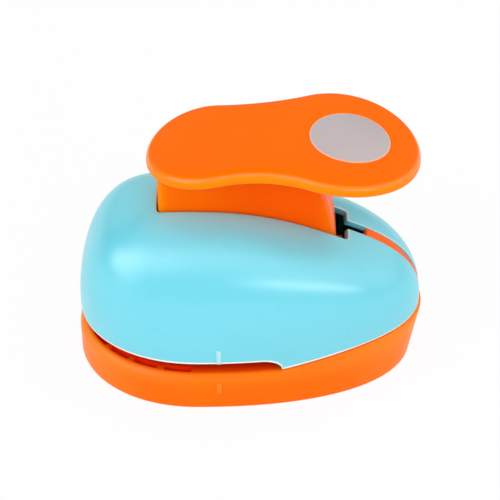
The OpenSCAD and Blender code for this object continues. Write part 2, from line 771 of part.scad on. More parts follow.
// Compression spring: one unbroken round wire, six-sided, eight rings to a turn
spring_rings = 8;
wire_sides = 6;
spring_seat = plate_z + fit_gap;
spring_rise = yoke_z - fit_gap - spring_seat - wire_d;
module coil(y) {
    n = spring_turns * spring_rings;
    s = wire_sides;
    pts = [for (k = [0:n]) for (j = [0:s - 1])
        let (turn = 360 * k / spring_rings)
        let (a = 360 * j / s)
        let (r = spring_r + wire_d / 2 * cos(a))
        [r * cos(turn), r * sin(turn), spring_rise * k / n + wire_d / 2 * (1 + sin(a))]];
    wall = [for (k = [0:n - 1]) for (j = [0:s - 1])
        let (a = k * s + j)
        let (b = k * s + (j + 1) % s)
        each [[a, b, b + s], [a, b + s, a + s]]];
    ends = [for (j = [1:s - 2]) each [[0, j + 1, j], [n * s, n * s + j, n * s + j + 1]]];
    on_yoke(spring_seat) translate([0, y, 0]) polyhedron(pts, concat(wall, ends));
}
module return_spring_left() color(steel) coil(-post_reach);
module return_spring_right() color(steel) coil(post_reach);

rear_bite = 12;
rear_screw_top = ledge_z + rear_bite;
module cover_screws_rear() color(steel) {
    mirror_y() screw(rear_screw_x, rear_screw_y, deck_low_z, rear_screw_top, false);
}
front_bite = 10;
front_screw_top = plate_z + front_bite;
module cover_screws_front() color(steel) {
    mirror_y() screw(front_screw_x, front_screw_y, guide_z + head_h, front_screw_top, false);
}

base_shell();
upper_cover();
lever_handle();
label_disc();
lock_slide();
pivot_pin();
pin_clips();
fulcrum_bracket();
bracket_screws();
die_plate();
throat_spacer();
guide_block();
frame_screws();
die_screws();
punch_cutter();
punch_yoke();
yoke_screws();
thrust_button();
guide_posts();
post_clips();
return_spring_left();
return_spring_right();
cover_screws_rear();
cover_screws_front();
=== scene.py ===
"""Looks of a lever craft punch that cuts round discs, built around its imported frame.

Sizes are in millimetres unless a name says otherwise; meshes are in metres, as the frame is.
"""

import logging
import math
from dataclasses import dataclass
from enum import Enum
from functools import cached_property
from typing import Callable, Iterable, NamedTuple, Sequence, Union

import bmesh
import bpy
from bmesh.types import BMEdge, BMesh, BMFace, BMVert
from bpy.types import Material, Node, NodeSocket
from mathutils import Matrix, Vector


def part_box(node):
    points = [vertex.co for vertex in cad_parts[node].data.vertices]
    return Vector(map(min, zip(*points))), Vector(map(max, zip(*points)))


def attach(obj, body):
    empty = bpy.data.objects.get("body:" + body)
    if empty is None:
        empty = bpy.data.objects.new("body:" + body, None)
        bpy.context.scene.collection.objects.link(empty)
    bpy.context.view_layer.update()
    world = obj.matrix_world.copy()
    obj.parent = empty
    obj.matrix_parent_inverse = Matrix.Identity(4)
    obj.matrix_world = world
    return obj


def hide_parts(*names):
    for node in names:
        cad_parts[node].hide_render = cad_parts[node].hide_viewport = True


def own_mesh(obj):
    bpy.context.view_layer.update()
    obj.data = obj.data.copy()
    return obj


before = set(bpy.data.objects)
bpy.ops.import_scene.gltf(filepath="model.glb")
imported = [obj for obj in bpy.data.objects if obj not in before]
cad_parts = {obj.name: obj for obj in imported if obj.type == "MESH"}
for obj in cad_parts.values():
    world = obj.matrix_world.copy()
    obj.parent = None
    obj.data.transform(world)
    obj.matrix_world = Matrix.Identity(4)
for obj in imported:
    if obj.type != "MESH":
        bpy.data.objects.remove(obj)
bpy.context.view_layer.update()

MM = 0.001
MERGE_MM = 0.002  # vertices closer than this become one
HALVINGS = 50  # rounds of a search by halving
ROUND_MIDDLE = 0.3  # how far in a small rounding lies at its middle, as a share of its radius
NOISE_MEAN = 0.5
MIX_COLOURS = 6  # number of the Mix node's first colour input
LOG = logging.getLogger("punch")

Point2 = tuple[float, float]
Point3 = tuple[float, float, float]
Colour = tuple[float, float, float]
Line = list[Point3]


class Body(Enum):
    """Bodies that the pieces ride on."""

    FIXED = "body"
    LEVER = "lever"
    PUNCH = "punch"
    LOCK = "lock"


class Slot(Enum):
    """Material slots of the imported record."""

    BASE = "base_orange"
    COVER = "cover_blue"
    LEVER = "lever_orange"
    LOCK = "lock_orange"
    DISC = "disc_grey"
    PIN = "pin_steel"
    PLATE = "plate_steel"
    DIE = "die_steel"
    SCREW = "screw_steel"
    SPRING = "spring_steel"
    CAST = "cast_zinc"
    YOKE = "yoke_nylon"


class Paint(Enum):
    """Layers that are painted on a mesh's vertices: painted highlights and light, painted shade, and polish.
    """

    # painted highlights and painted light on rims, lips, marks and walls
    PAINTED_LIGHT = "rim"
    # painted shade in hollows, on the ledge, along the lever's neck and inside the cover
    PAINTED_SHADE = "deep"
    SHINE = "shine"


class LampShape(Enum):
    """Shapes of a softbox."""

    BOX = "RECTANGLE"
    OVAL = "ELLIPSE"


def spow(value: float, power: float) -> float:
    """Power of a value that keeps its sign."""
    return math.copysign(abs(value) ** power, value)


def mix(a: float, b: float, share: float) -> float:
    """Number that lies the given share of the way from a to b."""
    return a + (b - a) * share


def clamp(value: float) -> float:
    """Value kept from 0 to 1."""
    return min(1.0, max(0.0, value))


def ease(low: float, high: float, value: float) -> float:
    """Smooth step from 0 at low to 1 at high."""
    share = clamp((value - low) / (high - low))
    return share * share * (3 - 2 * share)


def spread(low: float, high: float, count: int) -> list[float]:
    """Evenly spaced numbers from low up to, but without, high."""
    return [mix(low, high, k / count) for k in range(count)]


def quarter(count: int) -> list[float]:
    """Angles of a quarter turn in even steps, with both ends."""
    return [math.pi / 2 * k / count for k in range(count + 1)]


def halve(below: Callable[[float], bool]) -> float:
    """Finds an angle by halving a quarter turn.

    Args:
        below: test that holds for every angle below the one sought.

    Returns:
        The angle.
    """
    low, high = 0.0, math.pi / 2
    for _ in range(HALVINGS):
        middle = (low + high) / 2
        low, high = (middle, high) if below(middle) else (low, middle)
    return low


class Sock:
    """Number on a shader socket that takes part in Python expressions."""

    def __init__(self, tree: "Shader", out: NodeSocket) -> None:
        """Wraps an output socket of a tree's node."""
        self.tree, self.out = tree, out

    def _math(self, operation: str, a: "Operand", b: "Operand", clamped: bool = False) -> "Sock":
        """Adds one Math node and gives its result."""
        settings = {"operation": operation, "use_clamp": clamped}
        return self.tree.value(self.tree.node("Math", settings, {0: a, 1: b}))

    def __add__(self, other: "Operand") -> "Sock":
        """Sum, with the number on either side."""
        return self._math("ADD", self, other)

    def __mul__(self, other: "Operand") -> "Sock":
        """Product, with the number on either side."""
        return self._math("MULTIPLY", self, other)

    def __sub__(self, other: "Operand") -> "Sock":
        """Difference."""
        return self._math("SUBTRACT", self, other)

    def __rsub__(self, other: "Operand") -> "Sock":
        """Difference with the number in front."""
        return self._math("SUBTRACT", other, self)

    __radd__ = __add__
    __rmul__ = __mul__

    def over(self, low: float, width: float) -> "Sock":
        """Mask that climbs from 0 at low to 1 a width further on."""
        return self._math("DIVIDE", self - low, width, clamped=True)


Operand = Union[Sock, float]


class Shader:
    """Node tree of a material or of the world."""

    def __init__(self, owner: bpy.types.ID) -> None:
        """Starts with an empty tree.

        Args:
            owner: the material or the world that the tree belongs to.
        """
        owner.use_nodes = True
        self.owner, self.tree = owner, owner.node_tree
        self.tree.nodes.clear()

    @cached_property
    def place(self) -> NodeSocket:
        """Object coordinates."""
        return self.node("TexCoord").outputs["Object"]

    def node(self, kind: str, settings: dict | None = None, values: dict | None = None) -> Node:
        """Adds any node.

        Args:
            kind: the shader node's type.
            settings: attributes of the node, which are set first.
            values: numbers, colours or links for its inputs, by name or number.

        Returns:
            The new node.
        """
        node = self.tree.nodes.new(f"ShaderNode{kind}")
        for key, value in (settings or {}).items():
            setattr(node, key, value)
        for key, value in (values or {}).items():
            out = value.out if isinstance(value, Sock) else value
            if isinstance(out, NodeSocket):
                self.tree.links.new(out, node.inputs[key])
            else:
                node.inputs[key].default_value = out
        return node

    def value(self, node: Node, name: str | int = 0) -> Sock:
        """One output of a node as an operand."""
        return Sock(self, node.outputs[name])

    def layer(self, paint: Paint) -> Sock:
        """Number that is painted on the mesh's vertices."""
        return self.value(self.node("Attribute", {"attribute_name": paint.value}), "Fac")

    def noise(self, grain_mm: float, detail: float = 2.0, stretch: Point3 = (1, 1, 1)) -> Sock:
        """Cloudy noise fixed to the piece.

        Args:
            grain_mm: size of a grain.
            detail: number of finer layers.
            stretch: how many times closer the grains lie along each axis.

        Returns:
            The noise, about 0.5 on average.
        """
        mapped = self.node("Mapping", values={"Vector": self.place, "Scale": stretch})
        values = {"Vector": mapped.outputs[0], "Scale": 1 / (grain_mm * MM), "Detail": detail}
        return self.value(self.node("TexNoise", values=values), "Fac")

    def blend(self, share: Operand, *ends: object) -> NodeSocket:
        """Colour that lies the given share of the way between two colours, plain or linked."""
        colours = {k: (*c, 1.0) if isinstance(c, tuple) else c for k, c in enumerate(ends, MIX_COLOURS)}
        return self.node("Mix", {"data_type": "RGBA"}, {0: share, **colours}).outputs[2]

    def bump(self, height: Sock, depth_mm: float, strength: float) -> NodeSocket:
        """Normal that is roughened by a height of the given depth."""
        values = {"Height": height, "Distance": depth_mm * MM, "Strength": strength}
        return self.node("Bump", values=values).outputs[0]


@dataclass(frozen=True)
class Finish:
    """Finish of a surface: a colour, a near shade that clouds it, and a mean roughness."""

    name: str
    colour: Colour
    shade: Colour
    roughness: float

    def inputs(self, tree: Shader) -> dict:
        """Values and links of the shader's inputs by name, which each finish gives in its own way."""
        raise NotImplementedError(self.name)

    def clouded(self, tree: Shader, share: Sock) -> NodeSocket:
        """The colour with a share of the shade."""
        return tree.blend(share, self.colour, self.shade)

    def material(self) -> Material:
        """Builds the material around one Principled shader.

        Returns:
            The material.
        """
        tree = Shader(bpy.data.materials.new(self.name))
        shader = tree.node("BsdfPrincipled", values=self.inputs(tree))
        tree.node("OutputMaterial", values={"Surface": shader.outputs[0]})
        return tree.owner


@dataclass(frozen=True)
class MouldedPlastic(Finish):
    """Satin injection-moulded plastic: faint flow mottling and a fine spark-eroded grain."""

    gloss: float = 0.5
    ior: float = 1.5
    # colour of the painted highlights and painted light, where the rim layer is painted
    edge: Colour | None = None
    # colour of the painted shade, where the deep layer is painted
    deep: Colour | None = None
    shine: float = 0.0
    coat_roughness: float = 0.12
    tint: Colour = (1.0, 1.0, 1.0)
    flow_mm: float = 26.0
    flow_stretch: Point3 = (1.0, 1.4, 1.8)
    flow_mask: Point2 = (0.3, 0.5)
    flow_share: float = 0.6
    patch_mm: float = 5.0
    patch_mask: Point2 = (0.35, 0.4)
    patch_share: float = 0.15
    patch_rough: float = 0.06
    patch_height: float = 0.4
    grain_mm: float = 0.22
    grain_depth_mm: float = 0.006
    grain_rough: float = 0.14
    bump: float = 0.5

    def inputs(self, tree: Shader) -> dict:
        """Mottled colour with painted highlights on edges and painted shade in hollows, a grain, and a coat
        where it is polished.

        Args:
            tree: the material's tree.

        Returns:
            Values and links of the shader's inputs, by name.
        """
        flow = tree.noise(self.flow_mm, 3.0, self.flow_stretch)
        grain = tree.noise(self.grain_mm, 3.0)
        patches = tree.noise(self.patch_mm)
        mottle = flow.over(*self.flow_mask) * self.flow_share
        colour = self.clouded(tree, mottle + patches.over(*self.patch_mask) * self.patch_share)
        # blends in the painted highlights and light, then the painted shade
        for paint, tint in ((Paint.PAINTED_LIGHT, self.edge), (Paint.PAINTED_SHADE, self.deep)):
            if tint:
                colour = tree.blend(tree.layer(paint), colour, tint)
        rough = self.roughness + (grain - NOISE_MEAN) * self.grain_rough
        return {
            "Base Color": colour,
            "Roughness": rough + (patches - NOISE_MEAN) * self.patch_rough,
            "Normal": tree.bump(grain + patches * self.patch_height, self.grain_depth_mm, self.bump),
            "IOR": self.ior,
            "Specular IOR Level": self.gloss,
            "Specular Tint": (*self.tint, 1.0),
            "Coat Weight": tree.layer(Paint.SHINE) * self.shine if self.shine else 0.0,
            "Coat Roughness": self.coat_roughness,
        }


@dataclass(frozen=True)
class GroundSteel(Finish):
    """Steel with fine parallel grinding lines and a few faint stains."""

    lines: Point3
    line_mm: float = 1.2
    line_depth_mm: float = 0.004
    line_share: float = 0.55
    line_rough: float = 0.22
    stain_mm: float = 9.0
    stain_mask: Point2 = (0.5, 0.3)
    stain_share: float = 0.35
    dull_mask: Point2 = (0.5, 0.4)
    dull_rough: float = 0.12
    bump: float = 0.6

    def inputs(self, tree: Shader) -> dict:
        """Bare metal that is lined and stained.

        Args:
            tree: the material's tree.

        Returns:
            Values and links of the shader's inputs, by name.
        """
        lines = tree.noise(self.line_mm, 4.0, self.lines)
        stain = tree.noise(self.stain_mm, 3.0)
        marks = lines * self.line_share + stain.over(*self.stain_mask) * self.stain_share
        rough = self.roughness + (lines - NOISE_MEAN) * self.line_rough
        return {
            "Base Color": self.clouded(tree, marks),
            "Metallic": 1.0,
            "Roughness": rough + stain.over(*self.dull_mask) * self.dull_rough,
            "Normal": tree.bump(lines, self.line_depth_mm, self.bump),
        }


@dataclass(frozen=True)
class CastMetal(Finish):
    """Die-cast zinc: a dull pebbled skin with darker flow marks."""

    pebble_mm: float = 0.5
    pebble_depth_mm: float = 0.02
    pebble_share: float = 0.2
    pebble_rough: float = 0.3
    flow_mm: float = 7.0
    flow_stretch: Point3 = (1.0, 2.5, 1.0)
    flow_mask: Point2 = (0.35, 0.35)
    flow_share: float = 0.7
    bump: float = 0.6

    def inputs(self, tree: Shader) -> dict:
        """Bare metal with pebbles and flow marks.

        Args:
            tree: the material's tree.

        Returns:
            Values and links of the shader's inputs, by name.
        """
        pebble = tree.noise(self.pebble_mm, 4.0)
        flow = tree.noise(self.flow_mm, 4.0, self.flow_stretch)
        marks = flow.over(*self.flow_mask) * self.flow_share + pebble * self.pebble_share
        return {
            "Base Color": self.clouded(tree, marks),
            "Metallic": 1.0,
            "Roughness": self.roughness + (pebble - NOISE_MEAN) * self.pebble_rough,
            "Normal": tree.bump(pebble, self.pebble_depth_mm, self.bump),
        }


@dataclass(frozen=True)
class BorderedDisc(Finish):
    """Grey satin film on a round inlay, with a narrow pale border."""

    border: Colour
    centre_mm: Point2
    border_mm: float
    fade_mm: float = 0.15
    cloud_mm: float = 14.0
    cloud_mask: Point2 = (0.3, 0.5)
    cloud_share: float = 0.7
    film_mm: float = 0.35
    film_depth_mm: float = 0.005
    film_share: float = 0.15
    film_rough: float = 0.16
    bump: float = 0.5
    ior: float = 1.5

    def inputs(self, tree: Shader) -> dict:
        """Clouded film, with the border where the distance from the centre is past its inner edge.

        Args:
            tree: the material's tree.

        Returns:
            Values and links of the shader's inputs, by name.
        """
        reach = tree.place
        centre = (self.centre_mm[0] * MM, self.centre_mm[1] * MM, 0.0)
        for operation, other in (("SUBTRACT", centre), ("MULTIPLY", (1, 1, 0))):
            reach = tree.node("VectorMath", {"operation": operation}, {0: reach, 1: other}).outputs[0]
        length = tree.value(tree.node("VectorMath", {"operation": "LENGTH"}, {0: reach}), "Value")
        film = tree.noise(self.film_mm, 3.0)
        cloud = tree.noise(self.cloud_mm)
        marks = cloud.over(*self.cloud_mask) * self.cloud_share + film * self.film_share
        rim = length.over(self.border_mm * MM, self.fade_mm * MM)
        return {
            "Base Color": tree.blend(rim, self.clouded(tree, marks), self.border),
            "Roughness": self.roughness + (film - NOISE_MEAN) * self.film_rough,
            "Normal": tree.bump(film, self.film_depth_mm, self.bump),
            "IOR": self.ior,
        }


@dataclass(frozen=True)
class Nylon(Finish):
    """Natural nylon: matt, faintly clouded, with a fine grain."""

    cloud_mm: float = 6.0
    cloud_mask: Point2 = (0.35, 0.4)
    grain_mm: float = 0.3
    grain_depth_mm: float = 0.01
    grain_rough: float = 0.2
    bump: float = 0.5
    ior: float = 1.53

    def inputs(self, tree: Shader) -> dict:
        """Clouded colour and a grain.

        Args:
            tree: the material's tree.

        Returns:
            Values and links of the shader's inputs, by name.
        """
        cloud = tree.noise(self.cloud_mm, 3.0)
        grain = tree.noise(self.grain_mm)
        return {
            "Base Color": self.clouded(tree, cloud.over(*self.cloud_mask)),
            "Roughness": self.roughness + (grain - NOISE_MEAN) * self.grain_rough,
            "Normal": tree.bump(grain, self.grain_depth_mm, self.bump),
            "IOR": self.ior,
        }


ORANGE_GLOSS = (1.0, 0.5, 0.05)

FINISHES: dict[Slot, Finish] = {
    # edge is painted light and reflection on the wall and a painted highlight on the marks; deep is painted
    # shade on the ledge and pockets
    Slot.BASE: MouldedPlastic(
        "base plastic", (1.0, 0.160, 0.004), (0.97, 0.140, 0.002), 0.34, gloss=0.06, shine=0.4,
        tint=ORANGE_GLOSS, edge=(1.0, 0.42, 0.06), deep=(1.0, 0.032, 0.001)),
    # edge is a painted highlight on the rim, lip and marks and painted light beside the slot; deep is painted
    # shade inside
    Slot.COVER: MouldedPlastic(
        "cover plastic", (0.120, 0.645, 0.775), (0.107, 0.620, 0.755), 0.3, gloss=1.0, ior=1.6,
        edge=(0.95, 0.94, 0.90), deep=(0.03, 0.30, 0.40)),
    # edge is a painted highlight on the rolled rim and the neck's front; deep is painted shade along the neck
    Slot.LEVER: MouldedPlastic(
        "lever plastic", (1.0, 0.158, 0.001), (0.97, 0.143, 0.001), 0.34, gloss=0.05, shine=0.9,
        tint=ORANGE_GLOSS, edge=(1.0, 0.24, 0.002), deep=(0.96, 0.085, 0.001)),
    Slot.LOCK: MouldedPlastic("lock plastic", (1.0, 0.150, 0.003), (0.96, 0.130, 0.002), 0.34, gloss=0.1),
    Slot.DISC: BorderedDisc(
        "label film", (0.53, 0.455, 0.46), (0.50, 0.43, 0.435), 0.42, (0.92, 0.48, 0.31), (31.3, 0.0), 12.35),
    Slot.PIN: GroundSteel("pin steel", (0.60, 0.61, 0.63), (0.42, 0.43, 0.45), 0.24, (6.0, 0.4, 6.0)),
    Slot.PLATE: GroundSteel("plate steel", (0.62, 0.63, 0.65), (0.45, 0.46, 0.48), 0.32, (0.25, 7.0, 7.0)),
    Slot.DIE: GroundSteel("die steel", (0.68, 0.69, 0.70), (0.48, 0.49, 0.51), 0.26, (0.2, 9.0, 9.0)),
    Slot.SCREW: GroundSteel(
        "screw steel", (0.56, 0.57, 0.58), (0.36, 0.37, 0.39), 0.3, (4.0, 4.0, 1.0), line_mm=0.8),
    Slot.SPRING: GroundSteel(
        "spring steel", (0.50, 0.51, 0.53), (0.34, 0.35, 0.37), 0.3, (2.0, 2.0, 5.0), line_mm=0.6),
    Slot.CAST: CastMetal("cast zinc", (0.50, 0.51, 0.52), (0.36, 0.37, 0.38), 0.5),
    Slot.YOKE: Nylon("yoke nylon", (0.80, 0.77, 0.68), (0.74, 0.70, 0.60), 0.55),
}


def to_data(name: str, mesh: BMesh) -> bpy.types.Mesh:
    """Turns a bmesh into mesh data and frees it.

    Args:
        name: name of the data.
        mesh: the shape.

    Returns:
        The new data.
    """
    data = bpy.data.meshes.new(name)
    mesh.to_mesh(data)
    mesh.free()
    return data


def add_object(name: str, data: bpy.types.ID) -> bpy.types.Object:
    """Puts data into the scene.

    Args:
        name: the object's name.
        data: its mesh, lamp or camera.

    Returns:
        The new object.
    """
    made = bpy.data.objects.new(name, data)
    bpy.context.scene.collection.objects.link(made)
    return made


def aim(holder: bpy.types.Object, spot: Point3, target: Point3) -> None:
    """Puts a lamp or a camera at a spot and turns it to a target."""
    holder.location = Vector(spot) * MM
    holder.rotation_euler = (Vector(target) - Vector(spot)).to_track_quat("-Z", "Y").to_euler()


def finish_mesh(mesh: BMesh) -> None:
    """Merges doubles and turns all faces outwards."""
    bmesh.ops.remove_doubles(mesh, verts=mesh.verts, dist=MERGE_MM * MM)
    bmesh.ops.recalc_face_normals(mesh, faces=mesh.faces)


def open_edges(mesh: BMesh) -> list[BMEdge]:
    """Edges that have a face on one side only."""
    return [edge for edge in mesh.edges if edge.is_boundary]


def fill_holes(mesh: BMesh) -> None:
    """Closes every open loop with a face."""
    bmesh.ops.holes_fill(mesh, edges=open_edges(mesh), sides=0)


def fresh_verts(grown: dict) -> list[BMVert]:
    """Vertices that an extrusion has made."""
    return [item for item in grown["geom"] if isinstance(item, BMVert)]


def add_block(mesh: BMesh, size: Point3, middle: Point3) -> list[BMVert]:
    """Adds a block.

    Args:
        mesh: the shape to add to.
        size: the block's size in millimetres.
        middle: its middle in millimetres.

    Returns:
        The block's vertices.
    """
    made = bmesh.ops.create_cube(mesh, size=1.0)["verts"]
    bmesh.ops.scale(mesh, vec=Vector(size) * MM, verts=made)
    bmesh.ops.translate(mesh, vec=Vector(middle) * MM, verts=made)
    return made


def soften(mesh: BMesh, edges: Iterable[BMEdge], size_mm: float, segments: int) -> None:
    """Rounds edges over by a width in millimetres."""
    bmesh.ops.bevel(
        mesh, geom=list(edges), offset=size_mm * MM, offset_type="OFFSET", segments=segments,
        profile=0.5, affect="EDGES", clamp_overlap=True, material=-1)


class Wardrobe:
    """Materials of the object, each built once and shared by all that wear it."""

    def __init__(self) -> None:
        """Builds every finish."""
        self.materials = {slot: finish.material() for slot, finish in FINISHES.items()}

    def piece(
        self, name: str, mesh: BMesh, body: Body, slot: Slot,
        stands_for: Sequence[str] = (), sharp_deg: float = 38.0,
    ) -> bpy.types.Object:
        """Makes a finished piece of the object from a bmesh.

        Args:
            name: the piece's name.
            mesh: its shape in metres, which is freed here.
            body: the body that it rides on.
            slot: the slot that it takes its finish from.
            stands_for: CAD nodes that it replaces.
            sharp_deg: angle past which an edge looks sharp.

        Returns:
            The new object.
        """
        data = to_data(name, mesh)
        for face in data.polygons:
            face.use_smooth = True
        data.set_sharp_from_angle(angle=math.radians(sharp_deg))
        data.materials.append(self.materials[slot])
        piece = add_object(name, data)
        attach(piece, body.value)
        if stands_for:
            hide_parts(*stands_for)
        LOG.info("%s: %d faces on %s", name, len(data.polygons), body.value)
        return piece

    def dress(self, node: str, slot: Slot) -> None:
        """Gives a CAD node that stays its finish.

        Args:
            node: the node's name.
            slot: the slot that it takes its finish from.
        """
        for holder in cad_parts[node].material_slots:
            holder.link = "OBJECT"
            holder.material = self.materials[slot]
        LOG.info("%s: CAD node in %s", node, slot.value)


class HalfSkin:
    """The +Y half of a symmetric skin, drawn out line by line and then mirrored."""

    def __init__(self, lines: Sequence[Sequence[Point3]]) -> None:
        """Draws the skin from one edge that is cut into the first line.

        Args:
            lines: places of every line in millimetres; the ends of a line go to the middle plane.
        """
        self.mesh = bmesh.new()
        layers = self.mesh.verts.layers.float
        for paint in Paint:
            layers.new(paint.value)
        # layers of painted light (rim), painted shade (deep) and polish (shine)
        self.rim, self.deep, self.shine = (layers[paint.value] for paint in Paint)
        edge = self.mesh.edges.new([self.mesh.verts.new((x, 0.0, 0.0)) for x in (0.0, 1.0)])
        bmesh.ops.subdivide_edges(self.mesh, edges=[edge], cuts=len(lines[0]) - 2)
        self.lines = [sorted(self.mesh.verts, key=lambda vert: vert.co.x)]
        self.strips = [self._extend() for _ in lines[1:]]
        for verts, points in zip(self.lines, lines):
            for vert, point in zip(verts, points):
                vert.co = Vector(point) * MM
            verts[0].co.y = verts[-1].co.y = 0.0

    def _edges(self, line: Sequence[BMVert]) -> list[BMEdge]:
        """Edges along a line of vertices."""
        return [self.mesh.edges.get(pair) for pair in zip(line, line[1:])]

    def _extend(self) -> list[BMFace]:
        """Draws the skin out by one line.

        Returns:
            The new faces, one for each pair of columns.
        """
        near = self._edges(self.lines[-1])
        fresh = set(fresh_verts(bmesh.ops.extrude_edge_only(self.mesh, edges=near)))
        mates = []
        for vert in self.lines[-1]:
            mates.append(next(e.other_vert(vert) for e in vert.link_edges if e.other_vert(vert) in fresh))
        self.lines.append(mates)
        pairs = zip(near, self._edges(mates))
        return [next(face for face in edge.link_faces if mate in face.edges) for edge, mate in pairs]

    def close(self) -> None:
        """Joins the last line to the first."""
        bmesh.ops.bridge_loops(self.mesh, edges=self._edges(self.lines[-1]) + self._edges(self.lines[0]))

    def mirrored(self) -> BMesh:
        """Adds the -Y half.

        Returns:
            The whole skin.
        """
        parts = [*self.mesh.verts, *self.mesh.edges, *self.mesh.faces]
        bmesh.ops.mirror(self.mesh, geom=parts, matrix=Matrix.Identity(4), merge_dist=1e-6, axis="Y")
        finish_mesh(self.mesh)
        return self.mesh


@dataclass(frozen=True)
class BodyPlan:
    """Plan of the body: two half super-ellipses that meet at the widest station."""

    length: float = 114.6
    width: float = 67.4
    front: float = 40.0
    front_power: float = 2.05
    rear_power: float = 2.15

    @property
    def wide_x(self) -> float:
        """Place of the widest station."""
        return self.front - self.length / 2

    def half(self, t: float) -> float:
        """Half-length on the side that the angle points to."""
        return self.front if math.cos(t) < 0 else self.length - self.front

    def power(self, t: float) -> float:
        """Squareness on the side that the angle points to."""
        return self.front_power if math.cos(t) < 0 else self.rear_power

    def point(self, t: float, inset: float, extra: float = 0.0) -> Point2:
        """Point of the plan.

        Args:
            t: angle, 0 at the rear end.
            inset: distance in from the outline.
            extra: squareness on top of the plan's own.

        Returns:
            The place along and across the body.
        """
        power = self.power(t) + extra
        x = self.wide_x + (self.half(t) - inset) * spow(math.cos(t), 2 / power)
        return x, (self.width / 2 - inset) * spow(math.sin(t), 2 / power)

    def angle_at(self, x: float, inset: float) -> float:
        """Angle at which the +Y outline passes a place.

        Args:
            x: the place along the body.
            inset: distance in from the outline.

        Returns:
            The angle.
        """
        t = 0.0 if x > self.wide_x else math.pi
        share = abs(x - self.wide_x) / (self.half(t) - inset)
        return abs(t - math.acos(min(1.0, share ** (self.power(t) / 2))))


@dataclass(frozen=True)
class Seam:
    """Line where the cover meets the base: level mouth, a step, then a rising rim."""

    ledge: float = 14.3
    mouth_h: float = 5.0
    rise: float = 5.9
    rim_start: float = 3.0
    gap: float = 0.25
    throat_x: float = 10.65
    step_l: float = 7.4
    end_x: float = 57.3

    @property
    def rim_x(self) -> float:
        """Place where the rim starts to rise."""
        return self.throat_x - self.rim_start

    @property
    def step_x(self) -> float:
        """Place where the cover's edge starts to drop."""
        return self.throat_x - self.step_l

    def base_top(self, x: float) -> float:
        """Top of the base."""
        share = clamp((x - self.rim_x) / (self.end_x - self.rim_x))
        return self.ledge + self.rise * math.sin(math.pi / 2 * share)

    def rim_share(self, x: float) -> float:
        """0 along the open ledge, 1 along the closed rim."""
        return clamp((x - self.rim_x) / self.rim_start)

    def cover_low(self, x: float) -> float:
        """Lower edge of the cover.

        Args:
            x: place along the body.

        Returns:
            The height.
        """
        mouth, low = self.ledge + self.mouth_h, self.base_top(max(x, self.throat_x)) + self.gap
        share = clamp((x - self.step_x) / self.step_l)
        return low + (mouth - low) * math.sqrt(1 - share * share)


@dataclass(frozen=True)
class Dome:
    """Rounded top of the cover, above a straight skirt."""

    plan: BodyPlan
    inset: float = 0.7
    wall: float = 2.0
    shoulder: float = 19.5
    height: float = 39.9
    fall: float = 0.13
    front_full: float = 2.5
    rear_full: float = 2.85
    front_square: float = 1.2
    rear_square: float = 0.7
    blend: float = 0.5
    swell: float = 2.2
    swell_power: float = 1.5
    slot_front: float = -29.9
    slot_rear: float = 31.8
    locate_rounds: int = 25

    def rearward(self, t: float) -> float:
        """0 round the front end and 1 round the rear end of the plan."""
        return ease(-self.blend, self.blend, math.cos(t))

    def fullness(self, t: float) -> float:
        """Fullness of the dome's section at an angle of the plan."""
        return mix(self.front_full, self.rear_full, self.rearward(t))

    def square(self, t: float, lift: float) -> float:
        """Extra squareness that the plan gains towards the top, at a share of the height."""
        return lift * mix(self.front_square, self.rear_square, self.rearward(t))

    def point(self, t: float, a: float, depth: float = 0.0) -> Point3:
        """Point of the dome.

        Args:
            t: angle in plan.
            a: angle up the dome, 0 at the shoulder; below 0 it is a drop down the skirt in millimetres.
            depth: distance in from the outer skin.

        Returns:
            The place in millimetres.
        """
        if a < 0:
            return (*self.plan.point(t, self.inset + depth), self.shoulder + a)
        lift, draw = (max(0.0, turn(a)) ** (2 / self.fullness(t)) for turn in (math.sin, math.cos))
        px, py = self.plan.point(t, self.inset + depth, self.square(t, lift))
        x = self.plan.wide_x + (px - self.plan.wide_x) * draw
        return x, py * draw, self.shoulder + (self.rise(x) - depth) * lift

    def rise(self, x: float) -> float:
        """Height of the crest above the shoulder, which swells along the lever's slot."""
        share = (2 * x - self.slot_front - self.slot_rear) / (self.slot_rear - self.slot_front)
        return self.height - self.fall * x + self.swell * max(0.0, 1 - share * share) ** self.swell_power

    def rise_to(self, t: float, z: float) -> float:
        """Angle up the dome, or drop down the skirt, at a height.

        Args:
            t: angle in plan.
            z: the height.

        Returns:
            The angle, or the drop as a number below 0.
        """
        if z <= self.shoulder:
            return min(z - self.shoulder, -1e-4)
        return halve(lambda a: self.point(t, a)[2] < z)

    def angle_at(self, a: float, y: float) -> float:
        """Angle in plan, behind the widest station, where the dome is y from the middle."""
        return halve(lambda t: self.point(t, a)[1] < y)

    def locate(self, x: float, y: float) -> Point2:
        """Finds the point above a place.

        Args:
            x: the place along the body.
            y: the place across it.

        Returns:
            The angles in plan and up the dome.
        """
        plan = self.plan
        t, a = math.atan2(y, x - plan.wide_x), 0.0
        v = abs(y / (plan.width / 2 - self.inset))
        for _ in range(self.locate_rounds):
            u = (x - plan.wide_x) / (plan.half(t) - self.inset)
            power, full = plan.power(t), 2 / self.fullness(t)

            def squareness(a: float) -> float:
                """Squareness of the level section at an angle up the dome."""
                return power + self.square(t, math.sin(a) ** full)

            def inside(a: float) -> bool:
                """Whether that section goes round the place."""
                n = squareness(a)
                return (abs(u) ** n + v ** n) ** (1 / n) < math.cos(a) ** full

            a = halve(inside)
            n = squareness(a) / 2
            t = math.atan2(v ** n, spow(u, n))
        return t, a


class Column(NamedTuple):
    """One column of the cover: its angle at the lower edge, and where it ends at the opening."""

    low: float
    turn: float
    rise: float
    on_channel: bool


